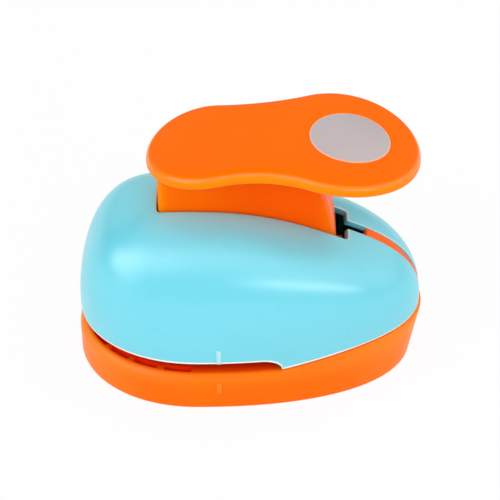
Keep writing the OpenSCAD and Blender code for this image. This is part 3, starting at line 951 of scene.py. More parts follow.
@dataclass
class UpperCover:
    """Blue shell with the lever's slot, the lock's channel and the paper mouth's upper lip."""

    wardrobe: Wardrobe
    plan: BodyPlan
    seam: Seam
    dome: Dome
    slot_half: float = 7.6
    slot_r: float = 1.6
    channel_half: float = 2.15
    channel_low: float = 24.03
    lip_r: float = 0.55
    lip_steps: int = 4
    rim_r: float = 0.65
    rim_step: float = 0.5
    rim_fade: float = 0.1
    edge_run: float = 0.8
    run_deg: tuple[float, ...] = (3.5, 32.0, 41.0, 46.0, 146.0, 152.0)
    tip_columns: int = 4
    channel_columns: int = 34
    channel_ease: float = 1.15
    corner_columns: int = 6
    front_columns: int = 8
    step_columns: int = 12
    side_columns: int = 34
    path_steps: int = 90
    outer_lines: int = 44
    inner_lines: int = 14
    # painted light beside the slot, where the handle shades the cover
    painted_light_width: float = 16.0
    painted_light_share: float = 0.14
    painted_light_front: Point2 = (-42.0, -24.0)
    painted_light_rear: Point2 = (10.0, 34.0)
    # painted highlight along the lower rim
    rim_highlight_paint: tuple[float, ...] = (0.6, 0.9, 0.9, 0.9, 0.9, 0.9)
    # painted highlight along the slot's lip
    lip_highlight_paint: tuple[float, ...] = (0.1, 0.5, 0.5)
    # painted shade on the inside, left off the first lines along the channel
    inside_shade_paint: float = 0.9
    bright_lines: int = 5
    mark_up: float = 0.4
    mark_h: float = 5.8
    # painted highlight on the centre marks
    mark_highlight_paint: float = 0.3

    def columns(self) -> list[Column]:
        """Columns of the +Y half, from the rear round to the front.

        Returns:
            The columns up to the channel, then those round the slot.
        """
        dome, half, r = self.dome, self.channel_half, self.slot_r
        tip_end, root, corner, side, nose, front = (math.radians(d) for d in self.run_deg)
        tip_a, root_a = dome.rise_to(0.0, self.channel_low), dome.locate(dome.slot_rear, half)[1]
        tip_t = dome.angle_at(tip_a, half)
        cols = []
        for k, low in enumerate(spread(0, tip_end, self.tip_columns)):
            cols.append(Column(low, tip_t * k / self.tip_columns, tip_a, True))
        for k, low in enumerate(spread(tip_end, root, self.channel_columns)):
            a = mix(tip_a, root_a, (k / self.channel_columns) ** self.channel_ease)
            cols.append(Column(low, dome.angle_at(a, half), a, True))
        n, inner, turns = self.corner_columns, self.slot_half - r, spread(0, math.pi / 2, self.corner_columns)
        rear_x, front_x = dome.slot_rear - r, dome.slot_front + r
        sides = self._side_angles(side, nose)
        lows = spread(root, corner, n) + spread(corner, side, n) + sides + spread(nose, front, n)
        lows += spread(front, math.pi, self.front_columns) + [math.pi]
        spots = [(dome.slot_rear, y) for y in spread(half, inner, n)]
        spots += [(rear_x + r * math.cos(turn), inner + r * math.sin(turn)) for turn in turns]
        spots += [(mix(rear_x, front_x, (low - side) / (nose - side)), self.slot_half) for low in sides]
        spots += [(front_x - r * math.sin(turn), inner + r * math.cos(turn)) for turn in turns]
        spots += [(dome.slot_front, y) for y in spread(inner, 0.0, self.front_columns) + [0.0]]
        return cols + [Column(low, *dome.locate(*spot), False) for low, spot in zip(lows, spots)]

    def _side_angles(self, low: float, high: float) -> list[float]:
        """Angles of the columns beside the slot, closer together along the step of the lower edge.

        Args:
            low: first angle.
            high: angle at which the next run of columns starts.

        Returns:
            The angles.
        """
        seam, count = self.seam, self.step_columns
        places = [seam.step_x + seam.step_l * math.cos(turn) for turn in quarter(count)]
        step = [self.plan.angle_at(x, self.dome.inset) for x in places]
        return spread(low, step[0], count) + step + spread(step[-1], high, self.side_columns)[1:]

    def path(self, column: Column) -> list[Point2]:
        """Angles along one column from the lower edge up to the opening.

        Args:
            column: the column.

        Returns:
            Angles in plan and up the dome.
        """
        low_t, top_t, top_a, _ = column
        low_a = self.dome.rise_to(low_t, self.seam.cover_low(self.plan.point(low_t, self.dome.inset)[0]))
        shares = [k / self.path_steps for k in range(self.path_steps + 1)]
        climb = [(mix(low_t, top_t, s), mix(max(low_a, 0.0), top_a, s)) for s in shares]
        return [(low_t, low_a)] + climb if low_a < 0 else climb

    def _lip(self, end: Vector, inside: Vector, along: Vector, r: float, level: bool) -> list[Vector]:
        """Rounded edge from the outer skin over to the inner one.

        Args:
            end: edge of the outer skin.
            inside: edge of the inner skin.
            along: direction in which the outer skin comes to its edge.
            r: radius of the rounding.
            level: True to cross the wall straight along the body.

        Returns:
            Places across the edge.
        """
        down = inside - end
        if level:
            down.y = 0.0
        wall = down.length
        down.normalize()
        along, over = along.normalized() * r, []
        for turn in quarter(self.lip_steps)[1:]:
            over.append(end - along * (1 - math.sin(turn)) + down * r * (1 - math.cos(turn)))
        return over + [p + down * (wall - 2 * (p - end).dot(down)) for p in reversed(over)]

    def section(self, column: Column) -> Line:
        """Places of one column's vertices: up the outside, over the opening's lip and down the inside.

        Args:
            column: the column.

        Returns:
            The places in millimetres.
        """
        path = self.path(column)
        outer, inner = ([Vector(self.dome.point(t, a, d)) for t, a in path] for d in (0.0, self.dome.wall))
        run = [0.0]
        for a, b in zip(outer, outer[1:]):
            run.append(run[-1] + (b - a).length)

        def at(skin: list[Vector], distance: float) -> Vector:
            """Finds a place on a skin.

            Args:
                skin: the outer or the inner skin.
                distance: distance up the outer one.

            Returns:
                The place.
            """
            k = next((i for i in range(1, len(run)) if run[i] >= distance), len(run) - 1)
            share = (distance - run[k - 1]) / max(run[k] - run[k - 1], 1e-9)
            return skin[k - 1].lerp(skin[k], clamp(share))

        start, end, last = self.rim_r + self.rim_step, run[-1] - self.lip_r, self.outer_lines
        climb = [self.rim_r, start - self.rim_fade] + [mix(start, end, k / last) for k in range(last + 1)]
        back = [mix(end, self.rim_r, k / self.inner_lines) for k in range(self.inner_lines + 1)]
        top_run = outer[-1] - at(outer, run[-1] - self.edge_run)
        low_run = outer[0] - at(outer, self.edge_run)
        top = self._lip(outer[-1], inner[-1], top_run, self.lip_r, column.on_channel)
        low = self._lip(outer[0], inner[0], low_run, self.rim_r, False)
        made = [at(outer, s) for s in climb] + top + [at(inner, s) for s in back] + low[::-1]
        return [tuple(p) for p in made]

    def build(self) -> None:
        """Builds the shell and its two raised centre marks."""
        columns = self.columns()
        skin = HalfSkin(list(zip(*(self.section(column) for column in columns))))
        skin.close()
        self._paint(skin, columns)
        self.wardrobe.piece("upper_cover_shell", skin.mirrored(), Body.FIXED, Slot.COVER, ["upper_cover"])
        low = self.seam.ledge + self.seam.mouth_h + self.mark_up
        marks = CentreMarks(self.plan.width / 2 - self.dome.inset, low, self.mark_h, self.mark_highlight_paint)
        self.wardrobe.piece("cover_centre_marks", marks.mesh(), Body.FIXED, Slot.COVER)

    def _paint(self, skin: HalfSkin, columns: list[Column]) -> None:
        """Paints a highlight along the lower rim and the slot's lip, light beside the slot where the handle
        shades it, and shade on the inside.

        Args:
            skin: the cover's skin.
            columns: its columns.
        """
        opening, steps = self.outer_lines + 2, self.lip_steps
        # painted light beside the slot, against the handle's shade
        for line in skin.lines[2:opening]:
            for vert in line:
                x, y = vert.co.x / MM, abs(vert.co.y) / MM
                near = 1 - ease(self.slot_half, self.slot_half + self.painted_light_width, y)
                here = ease(*self.painted_light_front, x) * (1 - ease(*self.painted_light_rear, x))
                vert[skin.rim] = self.painted_light_share * near * here
        # painted highlights on the lower rim and the slot's lip
        for first, paint in ((-steps, self.rim_highlight_paint), (opening, self.lip_highlight_paint)):
            for number, share in enumerate(paint, first):
                for vert in skin.lines[number]:
                    vert[skin.rim] = share
        # painted shade on the inside, but for the first lines along the channel
        for number, line in enumerate(skin.lines[opening + steps:-2 * steps]):
            for vert, column in zip(line, columns):
                bright = column.on_channel and number < self.bright_lines
                vert[skin.deep] = 0.0 if bright else self.inside_shade_paint


@dataclass(frozen=True)
class CentreMarks:
    """Two slim raised marks, one on each side wall, at the middle of the cut, with a painted highlight."""

    half: float
    low: float
    height: float
    # share of the painted highlight
    pale: float
    x: float = -10.0
    width: float = 1.6
    proud: float = 0.25
    root: float = 0.6
    round_r: float = 0.14

    def mesh(self) -> BMesh:
        """Shapes the marks.

        Returns:
            The shape in metres.
        """
        mesh = bmesh.new()
        rim = mesh.verts.layers.float.new(Paint.PAINTED_LIGHT.value)
        deep = self.proud + self.root
        for side in (-1, 1):
            spot = (self.x, side * (self.half + self.proud - deep / 2), self.low + self.height / 2)
            add_block(mesh, (self.width, deep, self.height), spot)
        soften(mesh, mesh.edges, self.round_r, 2)
        # the whole mark takes a painted highlight
        for vert in mesh.verts:
            vert[rim] = self.pale
        return mesh


@dataclass
class BaseTray:
    """Orange base: rounded foot, ledge with pockets under the mouth, rising rim and a disc outlet."""

    wardrobe: Wardrobe
    plan: BodyPlan
    seam: Seam
    wall: float = 2.4
    deck_low: float = 9.3
    deck_in: float = 4.0
    cove_r: float = 1.0
    die_low: float = 12.0
    lip_r: float = 3.4
    lip_steps: int = 6
    lip_dip: float = 0.2
    rim_r: float = 0.5
    rim_slope: float = 0.05
    foot_r: float = 1.6
    soft: float = 0.3
    wall_steps: int = 4
    rake: float = 3.0
    rake_power: int = 3
    pocket_in: float = 2.7
    pocket_w: float = 2.3
    pocket_depth: float = 2.6
    pocket_start: float = 92.6
    pocket_step: float = 17.4
    pocket_deg: float = 14.0
    pocket_n: int = 5
    pocket_edge: float = 0.1
    pocket_dip: float = 0.08
    recess_in: float = 7.55
    recess_rear: float = 24.7
    recess_soft: float = 0.2
    outlet_x: float = -10.0
    outlet_r: float = 20.25
    outlet_soft: float = 0.4
    rear_columns: int = 34
    rim_columns: int = 8
    wall_columns: int = 10
    pocket_columns: int = 8
    rib_columns: int = 3
    # painted shade on the ledge under the mouth, line by line
    ledge_shade_paint: tuple[float, ...] = (0.12, 0.45, 0.7, 1.0, 1.0)
    wall_lines: int = 10
    wall_low: float = 9.0
    # painted light higher up the wall, and painted reflection towards its front and rear ends
    wall_light_paint: float = 0.14
    front_sheen_paint: float = 0.22
    front_fade: Point2 = (-30.0, -56.0)
    rear_sheen_paint: float = 0.2
    rear_fade: Point2 = (20.0, 56.0)
    polish_fade: Point2 = (-15.0, -35.0)
    mark_low: float = 7.4
    mark_h: float = 4.2
    # painted highlight on the centre marks
    mark_highlight_paint: float = 0.28

    @cached_property
    def angles(self) -> list[float]:
        """Angles of the columns, with one at each end of each pocket and more where the rim starts.

        Returns:
            The angles from the rear round to the front.
        """
        seam, n, step = self.seam, self.rim_columns, math.radians(self.pocket_step)
        rim = [self.plan.angle_at(seam.rim_x + seam.rim_start * k / n, 0.0) for k in range(n, -1, -1)]
        made = spread(0.0, rim[0], self.rear_columns) + rim
        made += spread(rim[-1], math.radians(self.pocket_start), self.wall_columns)[1:]
        for start, end in self.pockets():
            made += spread(start, end, self.pocket_columns)
            made += spread(end, min(start + step, math.pi), self.rib_columns)
        return made + [math.pi]

    def pockets(self) -> list[Point2]:
        """First and last angle of each pocket."""
        starts = [self.pocket_start + self.pocket_step * k for k in range(self.pocket_n)]
        return [(math.radians(start), math.radians(start + self.pocket_deg)) for start in starts]

    def line(self, inset: Callable[[float], float], z: Callable[[float, float], float]) -> Line:
        """One line of the skin.

        Args:
            inset: distance in from the outline, by the outline's place along the body.
            z: height, by the outline's place and the line's own place along the body.

        Returns:
            A place for each column.
        """
        made = []
        for t in self.angles:
            edge_x = self.plan.point(t, 0.0)[0]
            x, y = self.plan.point(t, inset(edge_x))
            made.append((x, y, z(edge_x, x)))
        return made

    def level(self, inset: float, z: float, rear: float = math.inf) -> Line:
        """Line at one inset and one height, cut off straight at its rear."""
        return [(min(x, rear), y, z) for x, y, _ in self.line(lambda _: inset, lambda *_: z)]

    def ring(self, z: float) -> Line:
        """Edge of the disc outlet at a height."""
        r = self.outlet_r
        return [(self.outlet_x + r * math.cos(t), r * math.sin(t), z) for t in self.angles]

    def lip(self, turn: float) -> Line:
        """Line of the rounded upper edge.

        Args:
            turn: angle up the rounding.

        Returns:
            A place for each column.
        """
        def radius(x: float) -> float:
            """Radius of the rounding."""
            return mix(self.lip_r, self.rim_r, self.seam.rim_share(x))

        return self.line(
            lambda edge_x: radius(edge_x) * (1 - math.cos(turn)),
            lambda edge_x, x: self.seam.base_top(x) - radius(edge_x) * (1 - math.sin(turn)))

    def raked(self, line: Line) -> Line:
        """Draws a line's rear end in, the more the lower it lies.

        Args:
            line: the line.

        Returns:
            The line as it is moved.
        """
        plan, made = self.plan, []
        top = self.seam.base_top(self.seam.end_x) - self.rim_r
        for x, y, z in line:
            share = clamp((top - z) / (top - self.foot_r))
            back = max(0.0, (x - plan.wide_x) / (plan.length - plan.front))
            made.append((x - self.rake * share * back ** self.rake_power, y, z))
        return made

    def outer_lines(self) -> list[Line]:
        """Lines from the outlet's lower edge, round the foot, up the wall and over the upper edge.

        Returns:
            The lines in order.
        """
        top, share, wall, soft = self.seam.base_top, self.seam.rim_share, self.wall, self.soft
        turns = quarter(self.lip_steps)
        rounds = [(1 - math.sin(a), 1 - math.cos(a)) for a in turns]
        under = [self.level(wall + self.deck_in, self.deck_low)]
        under += [self.level(wall + self.cove_r * s, self.deck_low - self.cove_r * c) for s, c in rounds[::2]]
        under += [self.level(wall, soft), self.level(wall - soft, 0.0), self.level(self.foot_r, 0.0)]
        under += [self.level(self.foot_r * s, self.foot_r * c) for s, c in rounds[1:]]
        lines = [self.ring(self.deck_low + self.outlet_soft), self.ring(self.deck_low)]
        lines += [self.raked(line) for line in under]
        ends = list(zip(lines[-1], self.lip(0.0)))
        for k in range(1, self.wall_steps):
            lines.append([tuple(mix(a, b, k / self.wall_steps) for a, b in zip(p, q)) for p, q in ends])
        lines += [self.lip(a) for a in turns[:-2]]
        edge_in = mix(self.lip_r * rounds[-3][1], self.pocket_in, 0.5)
        return lines + [
            self.line(
                lambda x: mix(edge_in, wall - soft, share(x)),
                lambda _, x: top(x) - self.lip_dip * (1 - share(x))),
            self.line(
                lambda x: mix(self.pocket_in - self.pocket_edge, wall, share(x)),
                lambda _, x: top(x) - mix(self.pocket_edge, soft, share(x))),
        ]

    def ledge_lines(self) -> list[Line]:
        """Lines from the pockets' outer edge, over the ledge and down the die's recess to the outlet.

        Returns:
            The lines in order.
        """
        ledge, share = self.seam.ledge, self.seam.rim_share
        inset, soft, rear = self.recess_in, self.recess_soft, self.recess_rear
        return [
            self.line(
                lambda x: mix(self.pocket_in, self.wall + self.rim_slope, share(x)),
                lambda _, x: ledge - self.pocket_dip * (1 - share(x))),
            self.level(self.pocket_in + self.pocket_w, ledge),
            self.level(inset - soft, ledge, rear + soft),
            self.level(inset, ledge - soft, rear),
            self.level(inset, self.die_low, rear),
            self.ring(self.die_low),
        ]

    def build(self) -> None:
        """Builds the base and its centre marks."""
        outer = self.outer_lines()
        skin, pocket = HalfSkin(outer + self.ledge_lines()), len(outer)
        skin.close()
        self._paint(skin, pocket)
        middles = [(a + b) / 2 for a, b in zip(self.angles, self.angles[1:])]
        for low, high in self.pockets():
            self._sink(skin, [face for face, t in zip(skin.strips[pocket], middles) if low < t < high])
        self.wardrobe.piece("base_tray", skin.mirrored(), Body.FIXED, Slot.BASE, ["base_shell"])
        marks = CentreMarks(self.plan.width / 2, self.mark_low, self.mark_h, self.mark_highlight_paint)
        self.wardrobe.piece("base_centre_marks", marks.mesh(), Body.FIXED, Slot.BASE)

    def _paint(self, skin: HalfSkin, pocket: int) -> None:
        """Paints shade on the ledge, light higher up the wall and reflection towards its ends, and the polish
        of its front.

        Args:
            skin: the base's skin.
            pocket: number of the line along the pockets' outer edge.
        """
        # painted shade on the ledge, fading out where the rim closes
        for line, deep in zip(skin.lines[pocket - 2:], self.ledge_shade_paint):
            for vert in line:
                vert[skin.deep] = deep * (1 - self.seam.rim_share(vert.co.x / MM))
        # painted light higher up the wall and painted reflection towards its ends; polish on the front
        for line in skin.lines[pocket - 2 - self.wall_lines:pocket - 2]:
            for vert in line:
                x, lift = vert.co.x / MM, ease(self.wall_low, self.seam.ledge, vert.co.z / MM)
                ends = self.front_sheen_paint * ease(*self.front_fade, x) + self.rear_sheen_paint * ease(*self.rear_fade, x)
                vert[skin.shine] = lift * ease(*self.polish_fade, x)
                vert[skin.rim] = self.wall_light_paint * lift + ends

    def _sink(self, skin: HalfSkin, faces: list[BMFace]) -> None:
        """Sinks faces to a pocket's floor, which takes painted shade.

        Args:
            skin: the base's skin.
            faces: the pocket's part of the ledge.
        """
        floor = fresh_verts(bmesh.ops.extrude_face_region(skin.mesh, geom=faces))
        bmesh.ops.delete(skin.mesh, geom=faces, context="FACES_ONLY")
        bmesh.ops.translate(skin.mesh, vec=(0.0, 0.0, -self.pocket_depth * MM), verts=floor)
        # painted shade on the pocket's floor
        for vert in floor:
            vert[skin.deep] = 1.0


@dataclass
class PalmPad:
    """Arched palm pad: two lobes in plan, hollow flanks, a soft crown and a rolled rim."""

    crest_x: float = 12.0
    arch_z: float = 84.4
    arch_r: float = 170.0
    thick: float = 5.0
    front_x: float = -12.8
    front_r: float = 20.0
    rear_x: float = 28.4
    rear_r: float = 25.4
    flank_r: float = 52.5
    crown: float = 0.45
    crown_w: float = 9.0
    rim_r: float = 2.2

    def _arch(self, x: float, lift: float) -> float:
        """Height of the arch at a place along the body, a lift off its middle layer."""
        r = self.arch_r + lift
        return self.arch_z - self.arch_r + math.sqrt(r * r - (x - self.crest_x) ** 2)

    def top(self, x: float, from_rim: float) -> float:
        """Height of the upper skin, by place along the body and distance from the rim."""
        drop = self.crown * max(0.0, 1 - from_rim / self.crown_w) ** 2
        return self._arch(x, self.thick / 2) - drop

    def under(self, x: float) -> float:
        """Height of the lower skin."""
        return self._arch(x, -self.thick / 2)

    def flank(self) -> Point2:
        """Centre of the hollow flank, which touches both lobes.

        Returns:
            The place along and across the body.
        """
        gap, near, far = self.rear_x - self.front_x, self.front_r + self.flank_r, self.rear_r + self.flank_r
        along = (near ** 2 - far ** 2 + gap ** 2) / (2 * gap)
        return self.front_x + along, math.sqrt(near ** 2 - along ** 2)

    def outline(self, count: int, inset: float) -> list[Point2]:
        """The +Y half of the outline, from the rear tip to the front tip.

        Args:
            count: number of steps.
            inset: distance in from the outline.

        Returns:
            Evenly spread places.
        """
        flank_x, flank_y = self.flank()
        rear = math.atan2(flank_y, flank_x - self.rear_x)
        front = math.atan2(flank_y, flank_x - self.front_x)
        arcs = (
            (rear, 0.0, self.rear_x, 0.0, self.rear_r, -1),
            (rear - front, rear - math.pi, flank_x, flank_y, self.flank_r, 1),
            (math.pi - front, front, self.front_x, 0.0, self.front_r, -1),
        )
        runs = [turn * r for turn, _, _, _, r, _ in arcs]
        made = []
        for k in range(count + 1):
            s, leg = sum(runs) * k / count, 0
            while leg < 2 and s > runs[leg]:
                s, leg = s - runs[leg], leg + 1
            _, start, x, y, r, side = arcs[leg]
            turn, reach = start - side * s / r, r + side * inset
            made.append((x + reach * math.cos(turn), y + reach * math.sin(turn)))
        return made


@dataclass
class LeverHandle:
    """Orange lever: palm pad with a sunk seat for the disc, hollow neck, pivot barrel, nose and tooth."""

    wardrobe: Wardrobe
    pad: PalmPad
    seat_x: float = 31.3
    seat_r: float = 12.85
    seat_depth: float = 0.8
    seat_middle: float = 0.5
    seat_soft: float = 0.18
    pivot_x: float = -32.5
    pivot_z: float = 46.0
    pin_r: float = 2.55
    barrel_r: float = 5.0
    barrel_w: float = 16.0
    barrel_soft: float = 0.4
    barrel_steps: int = 48
    neck_front: float = -29.3
    neck_half: float = 7.0
    neck_r: float = 60.5
    neck_low: float = 40.97
    neck_wall: float = 1.6
    neck_soft: float = 0.3
    neck_marks: tuple[float, ...] = (0.0, 0.26, 0.36, 0.84, 0.92, 1.0)
    corner_r: float = 1.7
    fillet_r: float = 2.6
    front_fillet_r: float = 0.7
    fillet_fade: Point2 = (0.55, 0.95)
    fillet_drop: float = 5.0
    roof_drop: float = 8.0
    nose_x: float = -10.0
    nose_z: float = 44.2
    nose_r: float = 4.0
    nose_w: float = 12.0
    nose_steps: int = 40
    web_t: float = 4.0
    web_top: float = 74.4
    web_in: float = 0.6
    web_near: float = 1.4
    web_edge: float = 0.5
    web_waist: float = 3.6
    web_up: Point2 = (4.0, 10.0)
    web_low: float = 8.0
    tooth_l: float = 4.3
    tooth_w: float = 7.0
    tooth_h: float = 2.4
    tooth_out: float = 2.3
    columns: int = 150
    top_steps: int = 22
    rim_steps: int = 7
    under_steps: int = 10
    fillet_steps: int = 6
    neck_steps: int = 12
    hollow_steps: int = 8
    # painted highlight on the rolled rim, over these lines
    rim_highlight_lines: int = 12
    rim_highlight_fade: int = 4
    polish_lines: tuple[int, int] = (2, 4)
    # painted highlight towards the neck's front
    neck_highlight_reach: float = 4.0
    # painted shade along the middle of the neck
    neck_shade_paint: float = 0.7
    neck_shade_front: Point2 = (-26.0, 4.0)
    neck_shade_rear: Point2 = (20.0, 27.0)
    neck_polish: Point2 = (0.27, 0.35)

    @cached_property
    def shares(self) -> list[float]:
        """Share of the way round the +Y half at each column."""
        return [k / self.columns for k in range(self.columns + 1)]

    def neck_rear(self, z: float) -> float:
        """Rear face of the neck at a height."""
        return self.pivot_x + math.sqrt(self.neck_r ** 2 - (z - self.pivot_z) ** 2)

    def neck_point(self, s: float, z: float, grow: float) -> Point2:
        """Point of the neck's rounded section.

        Args:
            s: share of the way round the +Y half, from the rear face to the front face.
            z: height of the section.
            grow: how far the section is swollen.

        Returns:
            The place along and across the body.
        """
        r, half = self.corner_r + grow, self.neck_half - self.corner_r
        rear, front = self.neck_rear(z) - self.corner_r, self.neck_front + self.corner_r
        marks = self.neck_marks
        leg = next(k for k in range(5) if s <= marks[k + 1] + 1e-9)
        share = (s - marks[leg]) / (marks[leg + 1] - marks[leg])
        along, across = r * math.sin(share * math.pi / 2), r * math.cos(share * math.pi / 2)
        return (
            (rear + r, half * share),
            (rear + across, half + along),
            (mix(rear, front, share), half + r),
            (front - along, half + across),
            (front - r, half * (1 - share)),
        )[leg]

    def neck_line(self, heights: Iterable[float], grow: float) -> Line:
        """Line round the neck.

        Args:
            heights: a height for each column.
            grow: how far the section is swollen.

        Returns:
            A place for each column.
        """
        return [(*self.neck_point(s, z, grow), z) for s, z in zip(self.shares, heights)]

    def neck_lines(self) -> list[Line]:
        """Lines from the pad's underside, through the fillet, down the neck.

        Returns:
            The lines in order.
        """
        under, made, n = self.pad.under, [], self.neck_steps
        for turn in quarter(self.fillet_steps):
            line = []
            for s in self.shares:
                r = mix(self.fillet_r, self.front_fillet_r, ease(*self.fillet_fade, s))
                z = under(self.neck_point(s, self.pad.arch_z - self.fillet_drop, 0.0)[0])
                x, y = self.neck_point(s, z - r, r * (1 - math.sin(turn)))
                line.append((x, y, under(x) - r * (1 - math.cos(turn))))
            made.append(line)
        tops, low = [z for _, _, z in made[-1]], self.neck_low + self.neck_soft
        made += [self.neck_line([mix(z, low, k / n) for z in tops], 0.0) for k in range(1, n + 1)]
        return made + [self.neck_line([self.neck_low] * len(tops), -self.neck_soft)]

    def hollow_lines(self) -> list[Line]:
        """Lines from the neck's lower edge, up its inside, to the middle of the hollow's roof.

        Returns:
            The lines in order.
        """
        low, wall, n = self.neck_low, self.neck_wall, self.hollow_steps
        made = [self.neck_line([low] * len(self.shares), self.neck_soft - wall)]
        places = [self.neck_point(s, self.pad.arch_z - self.roof_drop, -wall)[0] for s in self.shares]
        roofs = [self.pad.under(x) - wall for x in places]
        for k in range(n + 1):
            made.append(self.neck_line([mix(low + self.neck_soft, roof, k / n) for roof in roofs], -wall))
        spine = [mix(made[-1][0][0], made[-1][-1][0], s) for s in self.shares]
        return made + [[(x, 0.0, self.pad.under(x) - wall) for x in spine]]

    @staticmethod
    def between(
        first: Line, last: Sequence[Sequence[float]], shares: Iterable[float],
        z: Callable[[float, float], float],
    ) -> list[Line]:
        """Lines between two others.

        Args:
            first: line that they start from.
            last: line that they lead to.
            shares: how far across each one lies.
            z: height, by the place along the body and the distance that is left.

        Returns:
            The lines in order.
        """
        lines = []
        for share in shares:
            line = []
            for (ax, ay, *_), (bx, by, *_) in zip(first, last):
                x, y = mix(ax, bx, share), mix(ay, by, share)
                line.append((x, y, z(x, math.hypot(bx - x, by - y))))
            lines.append(line)
        return lines

    def seat(self, r: float, drop: float) -> Line:
        """Circle of the disc's seat, with its columns turned half-way to the pad's outline.

        Args:
            r: the circle's radius.
            drop: its depth under the pad's top.

        Returns:
            A place for each column.
        """
        made = []
        for share, (x, y) in zip(self.shares, self.pad.outline(self.columns, self.pad.rim_r)):
            a = math.pi * share
            if 0 < share < 1:
                a = (a + math.atan2(y, x - self.seat_x)) / 2
            x = self.seat_x + r * math.cos(a)
            made.append((x, r * math.sin(a), self.pad.top(x, self.pad.crown_w) - drop))
        return made

    def pad_lines(self) -> tuple[list[Line], list[Line]]:
        """Lines from the seat's floor, over the pad's top and rim, to its underside.

        Returns:
            The lines of the top, and those of the rolled rim.
        """
        pad, r, soft = self.pad, self.seat_r, self.seat_soft
        floor, edge = self.seat_depth, ROUND_MIDDLE * soft
        steps = [(r * self.seat_middle, floor), (r, floor), (r, soft), (r + edge, edge), (r + soft, 0.0)]
        top = [self.seat(*step) for step in steps]
        outline = pad.outline(self.columns, pad.rim_r)
        shares = [k / self.top_steps for k in range(1, self.top_steps + 1)]
        top += self.between(top[-1], outline, shares, lambda x, left: pad.top(x, pad.rim_r + left))
        rim, turns = [], quarter(self.rim_steps)
        for a in turns[1:]:
            edge = pad.outline(self.columns, pad.rim_r * (1 - math.sin(a)))
            rim.append([(x, y, pad.top(x, pad.rim_r) - pad.rim_r * (1 - math.cos(a))) for x, y in edge])
        for a in turns:
            edge = pad.outline(self.columns, pad.rim_r * (1 - math.cos(a)))
            rim.append([(x, y, pad.under(x) + pad.rim_r * (1 - math.sin(a))) for x, y in edge])
        return top, rim

    def build(self) -> None:
        """Builds the handle and the parts of it that sit inside the cover."""
        top, rim = self.pad_lines()
        neck = self.neck_lines()
        shares = spread(0, 1, self.under_steps)[1:]
        outside = top + rim + self.between(rim[-1], neck[0], shares, lambda x, _: self.pad.under(x)) + neck
        skin = HalfSkin(outside + self.hollow_lines())
        self._paint(skin.lines[len(top):], skin.lines[len(outside) - len(neck):len(outside)], skin)
        mesh = skin.mirrored()
        fill_holes(mesh)
        bmesh.ops.recalc_face_normals(mesh, faces=mesh.faces)
        self._barrel(mesh)
        self._nose(mesh)
        x = self.neck_rear(self.pivot_z) + self.tooth_out - self.tooth_l / 2
        tooth = (self.tooth_l, self.tooth_w, self.tooth_h)
        add_block(mesh, tooth, (x, 0.0, self.neck_low + self.tooth_h / 2))
        self.wardrobe.piece("lever_handle_moulding", mesh, Body.LEVER, Slot.LEVER, ["lever_handle"])

    def _paint(self, rim: list[list[BMVert]], neck: list[list[BMVert]], skin: HalfSkin) -> None:
        """Paints a highlight and polish on the rolled rim, and a highlight at the neck's front, shade along
        its middle and polish.

        Args:
            rim: lines of the skin from the rolled rim on.
            neck: lines of the neck's outside.
            skin: the handle's skin.
        """
        first, last = self.polish_lines
        # painted highlight on the rolled rim, and polish on a few of its lines
        for k, line in enumerate(rim[:self.rim_highlight_lines]):
            for vert in line:
                vert[skin.rim] = min(1.0, k / self.rim_highlight_fade)
                vert[skin.shine] = float(first <= k <= last)
        first, last = (int(share * self.columns) for share in self.neck_polish)
        # painted highlight at the neck's front, painted shade along its middle, and polish on a few columns
        for line in neck:
            for k, vert in enumerate(line):
                x = vert.co.x / MM
                vert[skin.rim] = 1 - ease(0.0, self.neck_highlight_reach, x - self.neck_front)
                vert[skin.deep] = self.neck_shade_paint * ease(*self.neck_shade_front, x) * (1 - ease(*self.neck_shade_rear, x))
                vert[skin.shine] = float(first <= k <= last)

    def _barrel(self, mesh: BMesh) -> None:
        """Adds the bored pivot barrel and the web that joins it to the neck.

        Args:
            mesh: the handle's shape.
        """
        old, half, soft = set(mesh.faces), self.barrel_w / 2, self.barrel_soft
        x, z, r = self.pivot_x, self.pivot_z, self.barrel_r
        side = [(self.pin_r, half), (r - soft, half), (r, half - soft)]
        profile = [(reach, -y) for reach, y in side] + side[::-1]
        verts = [mesh.verts.new(Vector((x + reach, y, z)) * MM) for reach, y in profile]
        edges = [mesh.edges.new(pair) for pair in zip(verts, verts[1:] + verts[:1])]
        bmesh.ops.spin(
            mesh, geom=verts + edges, cent=Vector((x, 0.0, z)) * MM, axis=(0, 1, 0), angle=2 * math.pi,
            steps=self.barrel_steps, use_merge=True)
        near, edge, (up_x, up_z) = x + self.web_near, r - self.web_edge, self.web_up
        web = [(near, z + edge), (self.neck_front + up_x, z + up_z),
               (self.neck_front + self.web_low, self.neck_low), (near, z - edge), (x + self.web_waist, z)]
        reach = self.neck_half - self.web_in
        face = mesh.faces.new([mesh.verts.new(Vector((x, -reach, z)) * MM) for x, z in web])
        far = fresh_verts(bmesh.ops.extrude_face_region(mesh, geom=[face], use_keep_orig=True))
        bmesh.ops.translate(mesh, vec=(0.0, 2 * reach * MM, 0.0), verts=far)
        bmesh.ops.recalc_face_normals(mesh, faces=[face for face in mesh.faces if face not in old])

    def _nose(self, mesh: BMesh) -> None:
        """Adds the round nose that presses on the punch's button, and the web above it.

        Args:
            mesh: the handle's shape.
        """
        spot = Matrix.Translation(Vector((self.nose_x, 0.0, self.nose_z)) * MM)
        bmesh.ops.create_cone(
            mesh, cap_ends=True, segments=self.nose_steps, radius1=self.nose_r * MM, radius2=self.nose_r * MM,
            depth=self.nose_w * MM, matrix=spot @ Matrix.Rotation(math.pi / 2, 4, "X"))
        height = self.web_top - self.nose_z
        add_block(mesh, (self.web_t, self.nose_w, height), (self.nose_x, 0.0, self.nose_z + height / 2))


